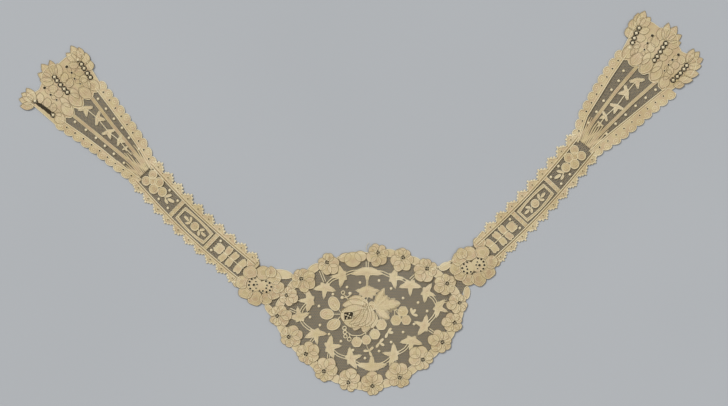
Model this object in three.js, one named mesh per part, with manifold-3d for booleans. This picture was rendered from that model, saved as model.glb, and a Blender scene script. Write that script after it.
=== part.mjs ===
/*
 * Appliqué lace collar, laid flat and open with its face up.
 *
 * A medallion of machine net for the back of the neck has a border of blossoms, an ivy wreath and a
 * rose spray sewn on it. Two straps run up and outwards from it, each with scalloped edgings and
 * three compartments of small motifs, and each ends in a gathered fan with a heavy openwork end.
 *
 * Millimetres, +Z up. The origin is the middle of the collar's footprint, on the surface under it.
 * Each strap and fan has a frame of its own: "along" runs outwards from the medallion, "across" is
 * positive towards the neck.
 */
import * as THREE from 'three';
import { mergeVertices } from 'three/addons/utils/BufferGeometryUtils.js';
import Module from 'manifold-3d';

const wasm = await Module();
wasm.setup();

// Walls and clearances.
const NET_WALL = 1.0;
const MOTIF_WALL = 1.0;
const SEWN_GAP = 0.3;
const SEAM_GAP = 0.3;
const MOTIF_LEVEL = NET_WALL + SEWN_GAP;
const PLEAT_HEIGHT = 2.2;
const FLAT_TOLERANCE = 0.05;

// One petal of a flower's outline, as shares of its turn.
const PETAL_SHAPE = [
  { share: -0.24, drop: 0 },
  { share: 0.24, drop: 0 },
  { share: 0.5, drop: 1 },
];

// Medallion: its middle, which the border blossoms turn their backs on.
const MEDALLION_MIDDLE = { x: 9, y: -101 };
const BLOSSOM_PETALS = 5;
const BLOSSOM_DEPTH = 0.24;
const BLOSSOM_EYE = 1.8;
const BORDER_BLOSSOMS = [
  { name: 'blossom_01', x: -50.5, y: -66.5, reach: 10.6 },
  { name: 'blossom_02', x: -28.5, y: -52.5, reach: 9.4 },
  { name: 'blossom_03', x: 14.5, y: -44.5, reach: 9.8 },
  { name: 'blossom_04', x: 36.0, y: -48.5, reach: 10.2 },
  { name: 'blossom_05', x: 56.5, y: -58.0, reach: 10.4 },
  { name: 'blossom_06', x: 74.0, y: -70.5, reach: 9.6 },
  { name: 'blossom_07', x: 85.0, y: -87.0, reach: 8.9 },
  { name: 'blossom_08', x: 80.5, y: -104.0, reach: 8.7 },
  { name: 'blossom_09', x: 69.5, y: -120.5, reach: 10.2 },
  { name: 'blossom_10', x: 52.5, y: -135.0, reach: 10.8 },
  { name: 'blossom_11', x: 33.0, y: -150.0, reach: 11.2 },
  { name: 'blossom_12', x: 10.0, y: -157.5, reach: 10.2 },
  { name: 'blossom_13', x: -10.5, y: -154.5, reach: 9.8 },
  { name: 'blossom_14', x: -31.0, y: -145.0, reach: 10.6 },
  { name: 'blossom_15', x: -46.5, y: -130.5, reach: 10.0 },
  { name: 'blossom_16', x: -61.5, y: -116.0, reach: 9.9 },
  { name: 'blossom_17', x: -71.5, y: -98.0, reach: 9.6 },
  { name: 'blossom_18', x: -64.0, y: -80.5, reach: 8.3 },
];
const BORDER_LINK = { half_length: 5.0, half_width: 2.7, outward: 4.6, back: 1.4 };
const POD = { name: 'border_pod', x: -7.5, y: -48.0, half_length: 10.8, half_width: 5.2, turn: 4 };
const POD_AFTER = 'blossom_02';

// Ivy wreath: four sprays, with a leaf on each row; turn is where the leaf's middle lobe points.
const VINE_WIDTH = 1.6;
const IVY_REACH = 9.5;
const IVY_ROWS = [
  { turn: 0, reach: 1 },
  { turn: 20, reach: 0.6 },
  { turn: 44, reach: 0.42 },
  { turn: 64, reach: 0.7 },
  { turn: 86, reach: 0.92 },
  { turn: 116, reach: 0.5 },
];
const WREATH_SPRAYS = [
  {
    name: 'wreath_top',
    leaves: [
      { x: -32, y: -72.5, turn: -95, size: 1 },
      { x: -16.5, y: -62.5, turn: 185, size: 1 },
      { x: 5.5, y: -60.5, turn: 90, size: 0.75 },
      { x: 28.5, y: -64.2, turn: -4, size: 0.92 },
      { x: 43.5, y: -70.0, turn: -90, size: 1 },
    ],
  },
  {
    name: 'wreath_right',
    leaves: [
      { x: 57.0, y: -77.0, turn: -20, size: 0.9 },
      { x: 68.0, y: -90.5, turn: -25, size: 0.9 },
      { x: 56.5, y: -107.0, turn: 157, size: 0.95 },
    ],
  },
  {
    name: 'wreath_bottom',
    leaves: [
      { x: 44.5, y: -119.5, turn: -95, size: 0.92 },
      { x: 29.5, y: -132.5, turn: 170, size: 0.95 },
      { x: 9.5, y: -141.0, turn: -90, size: 0.7 },
      { x: -9.5, y: -136.0, turn: 18, size: 0.95 },
      { x: -28.0, y: -125.5, turn: 0, size: 0.95 },
    ],
  },
  {
    name: 'wreath_left',
    leaves: [
      { x: -40.5, y: -113.0, turn: -80, size: 0.95 },
      { x: -54.5, y: -99.5, turn: 100, size: 0.92 },
      { x: -45.0, y: -84.5, turn: 180, size: 1 },
    ],
  },
];

// Rose spray in the middle of the medallion.
const ROSE = { x: -2.5, y: -96.0, reach: 13.6, petals: 7, depth: 0.12 };
const ROSE_HEART = { x: -11, y: -97.0, radius: 4.2 };
const ROSE_LEAF = { x: 11, y: -90.0, reach: 25, turn: 12 };
const ROSE_LEAF_ROWS = [
  { turn: 0, reach: 1 },
  { turn: 14, reach: 0.7 },
  { turn: 32, reach: 0.84 },
  { turn: 50, reach: 0.46 },
  { turn: 72, reach: 0.5 },
  { turn: 108, reach: 0.36 },
];
const TOP_LEAF = { name: 'top_leaf', x: 4.5, y: -74.5, turn: 90, reach: 8.2 };
const BUD_HOLE = 1.2;
const BUD_STEM_END = { x: -18.2, y: -96.0 };
const BUDS = [
  { x: -24, y: -86.5, half_length: 6.6, half_width: 4.6, turn: 115 },
  { x: -30.5, y: -96.5, half_length: 6.2, half_width: 4.6, turn: 175 },
  { x: -24.5, y: -106.0, half_length: 6.2, half_width: 4.6, turn: 215 },
];
const STEM_WIDTH = 1.5;
const BERRY_STEMS = [
  [{ x: -15, y: -111 }, { x: -8, y: -114.5 }, { x: 2, y: -114.5 }, { x: 9.5, y: -110 }, { x: 16, y: -106 }],
  [{ x: 16, y: -106 }, { x: 24, y: -104.5 }, { x: 32, y: -101.5 }, { x: 37.5, y: -94 }],
  [{ x: 32, y: -101.5 }, { x: 40, y: -101.5 }],
  [{ x: 2, y: -114.5 }, { x: 4.5, y: -118.5 }],
  [{ x: -8, y: -114.5 }, { x: -5, y: -120.5 }],
];
const BERRIES = [
  { x: 37.5, y: -93.5, radius: 3.8 },
  { x: 31.5, y: -101.5, radius: 4.0 },
  { x: 40.5, y: -101.5, radius: 3.8 },
  { x: 16.5, y: -105.5, radius: 4.0 },
  { x: 11.0, y: -114.0, radius: 4.2 },
  { x: -5.0, y: -120.5, radius: 4.2 },
  { x: 4.5, y: -119.0, radius: 3.9 },
];

// Straps: foot and turn of each, and the sideways bow that each lies with. neck is the side of the
// frame's +Y that the neck is on.
const STRAPS = [
  { side: 'left', x: -101.6, y: -58.4, turn: 136.1, neck: -1, length: 126.4, bow: 3.0 },
  { side: 'right', x: 110.8, y: -40.6, turn: 46.9, neck: 1, length: 129.6, bow: 2.8 },
];
const LANE_HALF = 7.3;
const BAND_HALF = 13.4;
const SCALLOP_RISE = 2.8;
const STRAP_SCALLOPS = 10;
const SCALLOP_SHAPE = [
  { share: 0, rise: 0 },
  { share: 0.26, rise: 1 },
  { share: 0.74, rise: 1 },
];
const STRAP_EDGING_START = -1.9;
const BAR_WIDTH = 3.4;
const BARS = [{ along: 39.8 }, { along: 81.8 }];
const FRAME = { along: 60.8, half_length: 16, half_width: 6.0, tape: 1.8 };
const FRAME_BALL = { along: 60.4, radius: 3.4 };
const FRAME_SPRIG = { reach: 9.6, width: 1.5, wing: 2.6 };
const SMALL_PETALS = [
  { along: 118.6, across: 3.4, radius: 3.4 },
  { along: 118.6, across: -3.4, radius: 3.4 },
  { along: 110.6, across: 3.4, radius: 3.4 },
  { along: 110.6, across: -3.4, radius: 3.4 },
  { along: 103.6, across: 0.3, radius: 3.7 },
];
const HOOK_PATH = [
  { along: 103, across: 0 },
  { along: 98, across: -0.6 },
  { along: 93, across: 0 },
  { along: 88.5, across: 2.4 },
];
const HOOK_WIDTH = 3.0;
const TULIP = { along: 30.2, reach: 4.6 };
const TULIP_STEM = [{ along: 30, across: 0 }, { along: 3.5, across: 0 }];
const PAIRED_LEAVES = [{ along: 23.6 }, { along: 15.8 }, { along: 6.8 }];
const PAIRED_LEAF = { half_length: 4.0, half_width: 1.9, across: 3.6, turn: 38 };
const PAIRED_STEM = { back: 2.0, inset: 0.8 };

// Junction blossoms over each strap's foot: two open hearts in one ring of petals, and a leaf.
const STRAP_SEAM = -18.5;
const JUNCTION_CORE = { along: -18.5, across: -0.5, half_length: 14, half_width: 11, turn: 150 };
const JUNCTION_HEARTS = [
  { along: -13.8, across: -4.3, radius: 1.6 },
  { along: -23.4, across: 3.2, radius: 1.6 },
];
const JUNCTION_PETALS = [
  { along: -4.6, across: 1.0, radius: 5.0 },
  { along: -8.5, across: -11.4, radius: 6.2 },
  { along: -21.8, across: -14.4, radius: 6.2 },
  { along: -30.5, across: -8.8, radius: 5.8 },
  { along: -31.2, across: 1.8, radius: 5.4 },
  { along: -28.8, across: 10.4, radius: 5.8 },
  { along: -20.3, across: 14.0, radius: 5.4 },
  { along: -11.0, across: 9.8, radius: 6.2 },
];
const JUNCTION_LEAF = { along: -27.5, across: 20.0, half_length: 6.8, half_width: 3.0, turn: 150 };
const TAB = { from: -44, to: -18, low: -11, high: 13 };

// Fans: turn of each against its strap, and its sections from the throat outwards.
const FANS = {
  left: {
    turn: -2.1,
    sections: [
      { along: -4, neck_edge: 12.0, far_edge: -11.5, neck_lane: 6.5, far_lane: -5.5 },
      { along: 20, neck_edge: 19.4, far_edge: -14.6, neck_lane: 10.8, far_lane: -9.6 },
      { along: 40, neck_edge: 22.6, far_edge: -17.4, neck_lane: 14.0, far_lane: -11.8 },
      { along: 60, neck_edge: 25.6, far_edge: -21.0, neck_lane: 17.2, far_lane: -15.0 },
      { along: 92, neck_edge: 30.2, far_edge: -30.0, neck_lane: 22.0, far_lane: -22.6 },
    ],
    tapes: [
      { along: 77, neck: 12.8, far: -9.6 },
      { along: 49, neck: 9.4, far: -6.0 },
      { along: 16.5, neck: 6.6, far: -2.2 },
    ],
    leaves: [
      { along: 71.0, across: 1.6, turn: 160, size: 0.9 },
      { along: 57.5, across: 1.8, turn: 190, size: 0.8 },
      { along: 44.0, across: 1.8, turn: 160, size: 0.68 },
      { along: 31.0, across: 2.0, turn: 185, size: 0.46 },
    ],
  },
  right: {
    turn: 4.9,
    sections: [
      { along: -4, neck_edge: 12.0, far_edge: -11.5, neck_lane: 6.5, far_lane: -5.5 },
      { along: 20, neck_edge: 20.6, far_edge: -20.2, neck_lane: 13.2, far_lane: -10.0 },
      { along: 40, neck_edge: 23.8, far_edge: -24.4, neck_lane: 15.2, far_lane: -14.6 },
      { along: 60, neck_edge: 26.4, far_edge: -28.4, neck_lane: 18.0, far_lane: -19.0 },
      { along: 92, neck_edge: 28.8, far_edge: -36.0, neck_lane: 21.4, far_lane: -26.6 },
    ],
    tapes: [
      { along: 77, neck: 7.4, far: -13.8 },
      { along: 52, neck: 8.4, far: -8.8 },
      { along: 19, neck: 7.6, far: -4.6 },
    ],
    leaves: [
      { along: 70.0, across: -3.0, turn: 160, size: 0.9 },
      { along: 56.5, across: -0.6, turn: 190, size: 0.8 },
      { along: 42.0, across: 0.2, turn: 160, size: 0.7 },
      { along: 29.0, across: 1.6, turn: 185, size: 0.5 },
    ],
  },
};
const FAN_SCALLOPS = 10;
const FAN_SCALLOP_RISE = 1.9;
const FAN_EDGING_START = 1.5;
const FAN_TAPE_WIDTH = 2.4;
const PLEATS = [
  { across: -3.4, fan_out: -6.4 },
  { across: -1.2, fan_out: -2.4 },
  { across: 1.0, fan_out: 1.8 },
  { across: 3.2, fan_out: 6.0 },
];
const PLEAT_FROM = 1.2;
const PLEAT_TO = 14.6;
const PLEAT_HALF = { throat: 0.6, mouth: 1.1 };

// Heavy ends: a block with three rosettes on its outer side and three low lobes on its inner side.
const HEAVY_FROM = 84;
const HEAVY_TO = 116;
const HEAVY_HALF = { from: 27, to: 33 };
const HEAVY_ROSETTES = [
  { along: 108.5, across: -27.5, reach: 12.8 },
  { along: 113.0, across: -0.5, reach: 14.4 },
  { along: 108.5, across: 26.0, reach: 12.6 },
];
const HEAVY_ROSETTE_PETALS = 7;
const HEAVY_ROSETTE_DEPTH = 0.15;
const HEAVY_LOBES = [{ across: -10.5 }, { across: 1 }, { across: 12.5 }];
const HEAVY_LOBE = { along: 84, half_length: 6.0, half_width: 5.4 };
const SLOTS = [
  { from: { along: 88, across: -22.8 }, to: { along: 111, across: -28.2 } },
  { from: { along: 92.5, across: 0.2 }, to: { along: 114, across: -0.4 } },
  { from: { along: 88, across: 22.4 }, to: { along: 110.5, across: 26.2 } },
];
const SLOT_WIDTH = 3.5;

const MATERIALS = {
  net: new THREE.MeshStandardMaterial({ color: '#8d8573', roughness: 0.9, metalness: 0 }),
  motif: new THREE.MeshStandardMaterial({ color: '#dccfa6', roughness: 0.85, metalness: 0 }),
  edging: new THREE.MeshStandardMaterial({ color: '#e0d3a8', roughness: 0.85, metalness: 0 }),
  openwork: new THREE.MeshStandardMaterial({ color: '#e3d7b0', roughness: 0.85, metalness: 0 }),
};

const { degToRad } = THREE.MathUtils;
const CENTRE = new THREE.Vector2(0, 0);

// Outlines: lists of Vector2, all run anticlockwise.

/** Flower outline: each petal has a notch, where the radius drops by depth, and two shoulders. */
function flowerOutline({ petals, reach, depth }) {
  const outline = [];
  for (let petal = 0; petal < petals; petal += 1) {
    for (const corner of PETAL_SHAPE) {
      const angle = ((petal + corner.share) * 2 * Math.PI) / petals;
      const radius = reach * (1 - depth * corner.drop);
      outline.push(new THREE.Vector2(radius * Math.cos(angle), radius * Math.sin(angle)));
    }
  }
  return outline;
}

/** Leaf outline: rows of turn and reach down one side of the middle lobe, mirrored for the other. */
function leafOutline(rows, reach) {
  const side = rows.map((row) => ({ turn: row.turn, reach: row.reach * reach }));
  const mirrored = side.slice(1).reverse().map((row) => ({ turn: -row.turn, reach: row.reach }));
  return [...side, ...mirrored].map((row) => {
    const angle = degToRad(row.turn);
    return new THREE.Vector2(row.reach * Math.cos(angle), row.reach * Math.sin(angle));
  });
}

/** Ellipse outline with the number of points given. */
function ovalOutline(half_length, half_width, points = 8) {
  return Array.from({ length: points }, (_, step) => {
    const angle = (step * 2 * Math.PI) / points;
    return new THREE.Vector2(half_length * Math.cos(angle), half_width * Math.sin(angle));
  });
}

/** Tape outline: both sides of a path, each half the width away along the corner's normal. */
function tapeOutline(path, width) {
  const normals = path.map((point, index) => {
    const before = path[Math.max(index - 1, 0)];
    const after = path[Math.min(index + 1, path.length - 1)];
    const direction = after.clone().sub(before).normalize();
    return new THREE.Vector2(-direction.y, direction.x).multiplyScalar(width / 2);
  });
  const left = path.map((point, index) => point.clone().add(normals[index]));
  const right = path.map((point, index) => point.clone().sub(normals[index]));
  return [...right, ...left.reverse()];
}

/** An outline turned about its own origin by turn degrees and moved to x, y. */
function placed(outline, { x = 0, y = 0, turn = 0 }) {
  const place = new THREE.Vector2(x, y);
  return outline.map((point) => point.clone().rotateAround(CENTRE, degToRad(turn)).add(place));
}

// Solids.

/** Closed wall of the thickness over an outline, with its underside at z = 0. */
function wall(outline, thickness, holes = []) {
  const shape = new THREE.Shape(outline);
  shape.holes = holes.map((hole) => new THREE.Path(hole));
  return new THREE.ExtrudeGeometry(shape, { depth: thickness, bevelEnabled: false, steps: 1 });
}

/** The manifold solid of a closed geometry. */
function solid(geometry) {
  const bare = geometry.clone();
  bare.deleteAttribute('normal');
  bare.deleteAttribute('uv');
  const merged = mergeVertices(bare, 1e-4);
  return new wasm.Manifold(
    new wasm.Mesh({
      numProp: 3,
      vertProperties: merged.attributes.position.array,
      triVerts: new Uint32Array(merged.index.array),
    }),
  );
}

/** One geometry from several joined ones, less the cut ones, with its flat faces made whole. */
function joined(geometries, cuts = []) {
  const whole = geometries.map(solid).reduce((sum, next) => sum.add(next));
  const rest = cuts.map(solid).reduce((part, next) => part.subtract(next), whole);
  const mesh = rest.asOriginal().simplify(FLAT_TOLERANCE).getMesh();
  const geometry = new THREE.BufferGeometry();
  geometry.setAttribute('position', new THREE.Float32BufferAttribute(mesh.vertProperties, 3));
  geometry.setIndex(new THREE.BufferAttribute(new Uint32Array(mesh.triVerts), 1));
  geometry.computeVertexNormals();
  return geometry;
}

/** A cutter through walls of either kind over an outline. */
function cutter(outline) {
  return wall(outline, MOTIF_WALL * 3).translate(0, 0, -MOTIF_WALL);
}

/** One motif wall joined from several outlines, with holes through it. */
function motif(outlines, holes = []) {
  if (outlines.length === 1) {
    return wall(outlines[0], MOTIF_WALL, holes);
  }
  return joined(outlines.map((outline) => wall(outline, MOTIF_WALL)), holes.map(cutter));
}

function addPiece(parent, name, material, geometry, level = MOTIF_LEVEL) {
  const mesh = new THREE.Mesh(geometry, material.clone());
  mesh.name = name;
  mesh.position.z = level;
  parent.add(mesh);
  return mesh;
}

const collar = new THREE.Group();

// Strap frames. The foot's outlines are worked out in the strap's own frame, and the medallion's
// net takes the part of them that lies past the seam.

function footOutlines(strap) {
  const petals = JUNCTION_PETALS.map((petal) =>
    placed(ovalOutline(petal.radius, petal.radius), { x: petal.along, y: petal.across * strap.neck }),
  );
  const ovals = [JUNCTION_CORE, JUNCTION_LEAF].map((oval) =>
    placed(ovalOutline(oval.half_length, oval.half_width), {
      x: oval.along,
      y: oval.across * strap.neck,
      turn: oval.turn * strap.neck,
    }),
  );
  return [...petals, ...ovals];
}

function footHoles(strap) {
  return JUNCTION_HEARTS.map((heart) =>
    placed(ovalOutline(heart.radius, heart.radius, 5), { x: heart.along, y: heart.across * strap.neck }),
  );
}

function rectangle(x_low, x_high, y_low, y_high) {
  return [
    new THREE.Vector2(x_low, y_low),
    new THREE.Vector2(x_high, y_low),
    new THREE.Vector2(x_high, y_high),
    new THREE.Vector2(x_low, y_high),
  ];
}

// Medallion.

function borderTurn(blossom) {
  const angle = Math.atan2(blossom.y - MEDALLION_MIDDLE.y, blossom.x - MEDALLION_MIDDLE.x);
  return THREE.MathUtils.radToDeg(angle);
}

function borderOutline(blossom, grow = 0) {
  const reach = blossom.reach + grow;
  const outline = flowerOutline({ petals: BLOSSOM_PETALS, reach, depth: BLOSSOM_DEPTH });
  return placed(outline, { x: blossom.x, y: blossom.y, turn: borderTurn(blossom) });
}

/** The small leaf that links a blossom to the next one along the border's outer side. */
function linkOutline(blossom, next) {
  const ahead = new THREE.Vector2(next.x - blossom.x, next.y - blossom.y);
  const half_way = ahead.length() / 2 - BORDER_LINK.back;
  const turn = THREE.MathUtils.radToDeg(ahead.angle());
  const leaf = placed(ovalOutline(BORDER_LINK.half_length, BORDER_LINK.half_width, 6), {
    x: half_way,
    y: BORDER_LINK.outward,
  });
  return placed(leaf, { x: blossom.x, y: blossom.y, turn });
}

/** Each blossom of the border with the next one, as pairs; the pod stands in one gap by itself. */
function borderPairs() {
  return BORDER_BLOSSOMS.map((blossom, index) => ({
    blossom,
    next: BORDER_BLOSSOMS[(index + 1) % BORDER_BLOSSOMS.length],
    linked: blossom.name !== POD_AFTER,
  }));
}

function podOutline() {
  return placed(ovalOutline(POD.half_length, POD.half_width, 10), POD);
}

function addMedallionNet(parent) {
  const ring = [];
  for (const blossom of BORDER_BLOSSOMS) {
    ring.unshift(new THREE.Vector2(blossom.x, blossom.y));
    if (blossom.name === POD_AFTER) {
      ring.unshift(new THREE.Vector2(POD.x, POD.y));
    }
  }
  const walls = [wall(ring, NET_WALL), wall(podOutline(), NET_WALL)];
  for (const { blossom, next, linked } of borderPairs()) {
    walls.push(wall(borderOutline(blossom), NET_WALL));
    if (linked) {
      walls.push(wall(linkOutline(blossom, next), NET_WALL));
    }
  }
  const far_side = 60;
  const cuts = [];
  for (const strap of STRAPS) {
    const tab_sides = [TAB.low * strap.neck, TAB.high * strap.neck].sort((a, b) => a - b);
    const tab = [rectangle(TAB.from, TAB.to, ...tab_sides), ...footOutlines(strap)];
    walls.push(...tab.map((outline) => wall(placed(outline, strap), NET_WALL)));
    const beyond = rectangle(STRAP_SEAM - SEAM_GAP / 2, far_side, -far_side, far_side);
    cuts.push(cutter(placed(beyond, strap)));
  }
  addPiece(parent, 'net_medallion', MATERIALS.net, joined(walls, cuts), 0);
}

function addBorder(parent) {
  for (const { blossom, next, linked } of borderPairs()) {
    const eye = placed(ovalOutline(BLOSSOM_EYE, BLOSSOM_EYE, 5), { x: blossom.x, y: blossom.y });
    const link = linked ? [linkOutline(blossom, next)] : [];
    const outlines = [borderOutline(blossom), ...link];
    const cuts = [eye, borderOutline(next, SEAM_GAP * 1.5)];
    const geometry = joined(outlines.map((outline) => wall(outline, MOTIF_WALL)), cuts.map(cutter));
    addPiece(parent, blossom.name, MATERIALS.motif, geometry);
  }
  addPiece(parent, POD.name, MATERIALS.motif, wall(podOutline(), MOTIF_WALL));
}

function addWreath(parent) {
  for (const spray of WREATH_SPRAYS) {
    const leaves = spray.leaves.map((leaf) => placed(leafOutline(IVY_ROWS, IVY_REACH * leaf.size), leaf));
    const vine = tapeOutline(spray.leaves.map((leaf) => new THREE.Vector2(leaf.x, leaf.y)), VINE_WIDTH);
    addPiece(parent, spray.name, MATERIALS.motif, motif([...leaves, vine]));
  }
}

function stemOutline(path) {
  return tapeOutline(path.map((point) => new THREE.Vector2(point.x, point.y)), STEM_WIDTH);
}

function addRoseSpray(parent) {
  const rose = placed(flowerOutline(ROSE), ROSE);
  const rose_leaf = placed(leafOutline(ROSE_LEAF_ROWS, ROSE_LEAF.reach), ROSE_LEAF);
  const heart = placed(ovalOutline(ROSE_HEART.radius, ROSE_HEART.radius), ROSE_HEART);
  addPiece(parent, 'rose', MATERIALS.motif, motif([rose, rose_leaf], [heart]));

  const top_leaf = placed(leafOutline(IVY_ROWS, TOP_LEAF.reach), TOP_LEAF);
  addPiece(parent, TOP_LEAF.name, MATERIALS.motif, motif([top_leaf]));

  const buds = BUDS.map((bud) => placed(ovalOutline(bud.half_length, bud.half_width), bud));
  const bud_stems = BUDS.map((bud) => stemOutline([bud, BUD_STEM_END]));
  const bud_holes = BUDS.map((bud) => placed(ovalOutline(BUD_HOLE, BUD_HOLE, 5), bud));
  addPiece(parent, 'bud_spray', MATERIALS.motif, motif([...buds, ...bud_stems], bud_holes));

  const berries = BERRIES.map((berry) => placed(ovalOutline(berry.radius, berry.radius, 7), berry));
  const berry_stems = BERRY_STEMS.map(stemOutline);
  addPiece(parent, 'berry_spray', MATERIALS.motif, motif([...berries, ...berry_stems]));
}

// Straps.

/** The place of an along, across pair on a strap that lies with a sideways bow. */
function onStrap(strap, along, across) {
  const bow = strap.bow * Math.sin((Math.PI * along) / strap.length);
  return new THREE.Vector2(along, (across - bow) * strap.neck);
}

/** Scalloped line: stations along an edge, each with its share of the scallop's rise. */
function scallopStations(from, to, count) {
  const pitch = (to - from) / count;
  const stations = [];
  for (let index = 0; index < count; index += 1) {
    for (const corner of SCALLOP_SHAPE) {
      stations.push({ along: from + (index + corner.share) * pitch, rise: corner.rise });
    }
  }
  stations.push({ along: to, rise: 0 });
  return stations;
}

function strapEdge(strap, from, to, sign) {
  return scallopStations(from, to, STRAP_SCALLOPS).map((station) =>
    onStrap(strap, station.along, sign * (BAND_HALF + station.rise * SCALLOP_RISE)),
  );
}

function strapEnd(strap) {
  return strap.length - SEAM_GAP / 2;
}

function addStrapNet(parent, strap) {
  const edges = [1, -1].map((sign) => strapEdge(strap, STRAP_EDGING_START, strapEnd(strap), sign));
  const outline = [...edges[1], ...edges[0].reverse()];
  const far_side = 60;
  const neck = rectangle(STRAP_SEAM - 1, STRAP_EDGING_START + 1, -LANE_HALF, LANE_HALF);
  const foot = [neck, ...footOutlines(strap)];
  const beyond = rectangle(-far_side, STRAP_SEAM + SEAM_GAP / 2, -far_side, far_side);
  const geometry = joined(
    [outline, ...foot].map((piece) => wall(piece, NET_WALL)),
    [cutter(beyond)],
  );
  addPiece(parent, `net_strap_${strap.side}`, MATERIALS.net, geometry, 0);
}

function addStrapEdgings(parent, strap) {
  const lane_stations = Array.from({ length: 9 }, (_, index) => {
    const share = index / 8;
    return THREE.MathUtils.lerp(STRAP_EDGING_START, strapEnd(strap), share);
  });
  for (const [name, sign] of [['neck', 1], ['far', -1]]) {
    const edge = strapEdge(strap, STRAP_EDGING_START, strapEnd(strap), sign);
    const lane = lane_stations.map((along) => onStrap(strap, along, sign * LANE_HALF)).reverse();
    const outlines = [[...edge, ...lane]];
    if (name === 'far') {
      for (const bar of BARS) {
        const ends = [-LANE_HALF - 1, LANE_HALF - SEAM_GAP];
        const path = ends.map((across) => onStrap(strap, bar.along, across));
        outlines.push(tapeOutline(path, BAR_WIDTH));
      }
    }
    addPiece(parent, `strap_edging_${name}_${strap.side}`, MATERIALS.edging, motif(outlines));
  }
}

function addStrapMotifs(parent, strap) {
  const at = (point, turn = 0) => {
    const spot = onStrap(strap, point.along, point.across ?? 0);
    return { x: spot.x, y: spot.y, turn: turn * strap.neck };
  };
  const round = (point, radius) => placed(ovalOutline(radius, radius), at(point));
  const path = (points) => points.map((point) => onStrap(strap, point.along, point.across));

  const petals = SMALL_PETALS.map((petal) => round(petal, petal.radius));
  const spine = tapeOutline(path([{ along: 119, across: 0 }, { along: 103, across: 0 }]), HOOK_WIDTH);
  const hook = tapeOutline(path(HOOK_PATH), HOOK_WIDTH);
  addPiece(parent, `petal_spray_${strap.side}`, MATERIALS.motif, motif([...petals, spine, hook]));

  const frameOutline = (inset) => {
    const half_length = FRAME.half_length - inset;
    const half_width = FRAME.half_width - inset;
    return placed(rectangle(-half_length, half_length, -half_width, half_width), at(FRAME));
  };
  const frame = motif([frameOutline(0)], [frameOutline(FRAME.tape)]);
  addPiece(parent, `tape_frame_${strap.side}`, MATERIALS.edging, frame);

  const sprig_parts = [round(FRAME_BALL, FRAME_BALL.radius)];
  for (const sign of [1, -1]) {
    const tip = FRAME_BALL.along + sign * FRAME_SPRIG.reach;
    const sprig_path = [
      { along: FRAME_BALL.along, across: 0 },
      { along: tip, across: 0 },
    ];
    sprig_parts.push(tapeOutline(path(sprig_path), FRAME_SPRIG.width));
    for (const wing of [1, -1]) {
      const wing_path = [
        { along: tip - sign * FRAME_SPRIG.wing, across: 0 },
        { along: tip, across: wing * FRAME_SPRIG.wing },
      ];
      sprig_parts.push(tapeOutline(path(wing_path), FRAME_SPRIG.width));
    }
  }
  addPiece(parent, `frame_sprig_${strap.side}`, MATERIALS.motif, motif(sprig_parts));

  const tulip = placed(flowerOutline({ petals: 3, reach: TULIP.reach, depth: 0.3 }), at(TULIP));
  const paired = PAIRED_LEAVES.flatMap((pair) =>
    [1, -1].map((sign) =>
      placed(
        ovalOutline(PAIRED_LEAF.half_length, PAIRED_LEAF.half_width, 6),
        at({ along: pair.along, across: sign * PAIRED_LEAF.across }, sign * PAIRED_LEAF.turn),
      ),
    ),
  );
  const paired_stems = PAIRED_LEAVES.map((pair) => {
    const ends = [-1, 1].map((sign) => ({
      along: pair.along - PAIRED_STEM.back,
      across: sign * (PAIRED_LEAF.across - PAIRED_STEM.inset),
    }));
    return tapeOutline(path(ends), STEM_WIDTH);
  });
  const stem = tapeOutline(path(TULIP_STEM), STEM_WIDTH);
  const spray = motif([tulip, ...paired, ...paired_stems, stem]);
  addPiece(parent, `tulip_spray_${strap.side}`, MATERIALS.motif, spray);
}

// Fans.

/** A column of the fan's section table, read between its rows at a distance along the fan. */
function fanValue(sections, column, along) {
  const next = Math.max(1, sections.findIndex((row) => row.along >= along));
  const low = sections[next - 1];
  const high = sections[next];
  const share = (along - low.along) / (high.along - low.along);
  return THREE.MathUtils.lerp(low[column], high[column], share);
}

/** Outline of one side's band, or from band to band, between two distances along the fan. */
function fanEdge(strap, sections, column, sign, from, to) {
  return scallopStations(from, to, FAN_SCALLOPS).map((station) => {
    const across = fanValue(sections, column, station.along) + sign * station.rise * FAN_SCALLOP_RISE;
    return new THREE.Vector2(station.along, across * strap.neck);
  });
}

function heavyOutlines(strap) {
  const neck = strap.neck;
  const block = [
    new THREE.Vector2(HEAVY_FROM, -HEAVY_HALF.from),
    new THREE.Vector2(HEAVY_TO, -HEAVY_HALF.to),
    new THREE.Vector2(HEAVY_TO, HEAVY_HALF.to),
    new THREE.Vector2(HEAVY_FROM, HEAVY_HALF.from),
  ];
  const rosettes = HEAVY_ROSETTES.map((rosette) =>
    placed(
      flowerOutline({ petals: HEAVY_ROSETTE_PETALS, reach: rosette.reach, depth: HEAVY_ROSETTE_DEPTH }),
      { x: rosette.along, y: rosette.across * neck },
    ),
  );
  const lobes = HEAVY_LOBES.map((lobe) =>
    placed(ovalOutline(HEAVY_LOBE.half_length, HEAVY_LOBE.half_width), {
      x: HEAVY_LOBE.along,
      y: lobe.across * neck,
    }),
  );
  return [block, ...rosettes, ...lobes];
}

function slotOutlines(strap) {
  return SLOTS.map((slot) => {
    const ends = [slot.from, slot.to].map((end) => new THREE.Vector2(end.along, end.across * strap.neck));
    return tapeOutline(ends, SLOT_WIDTH);
  });
}

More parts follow.
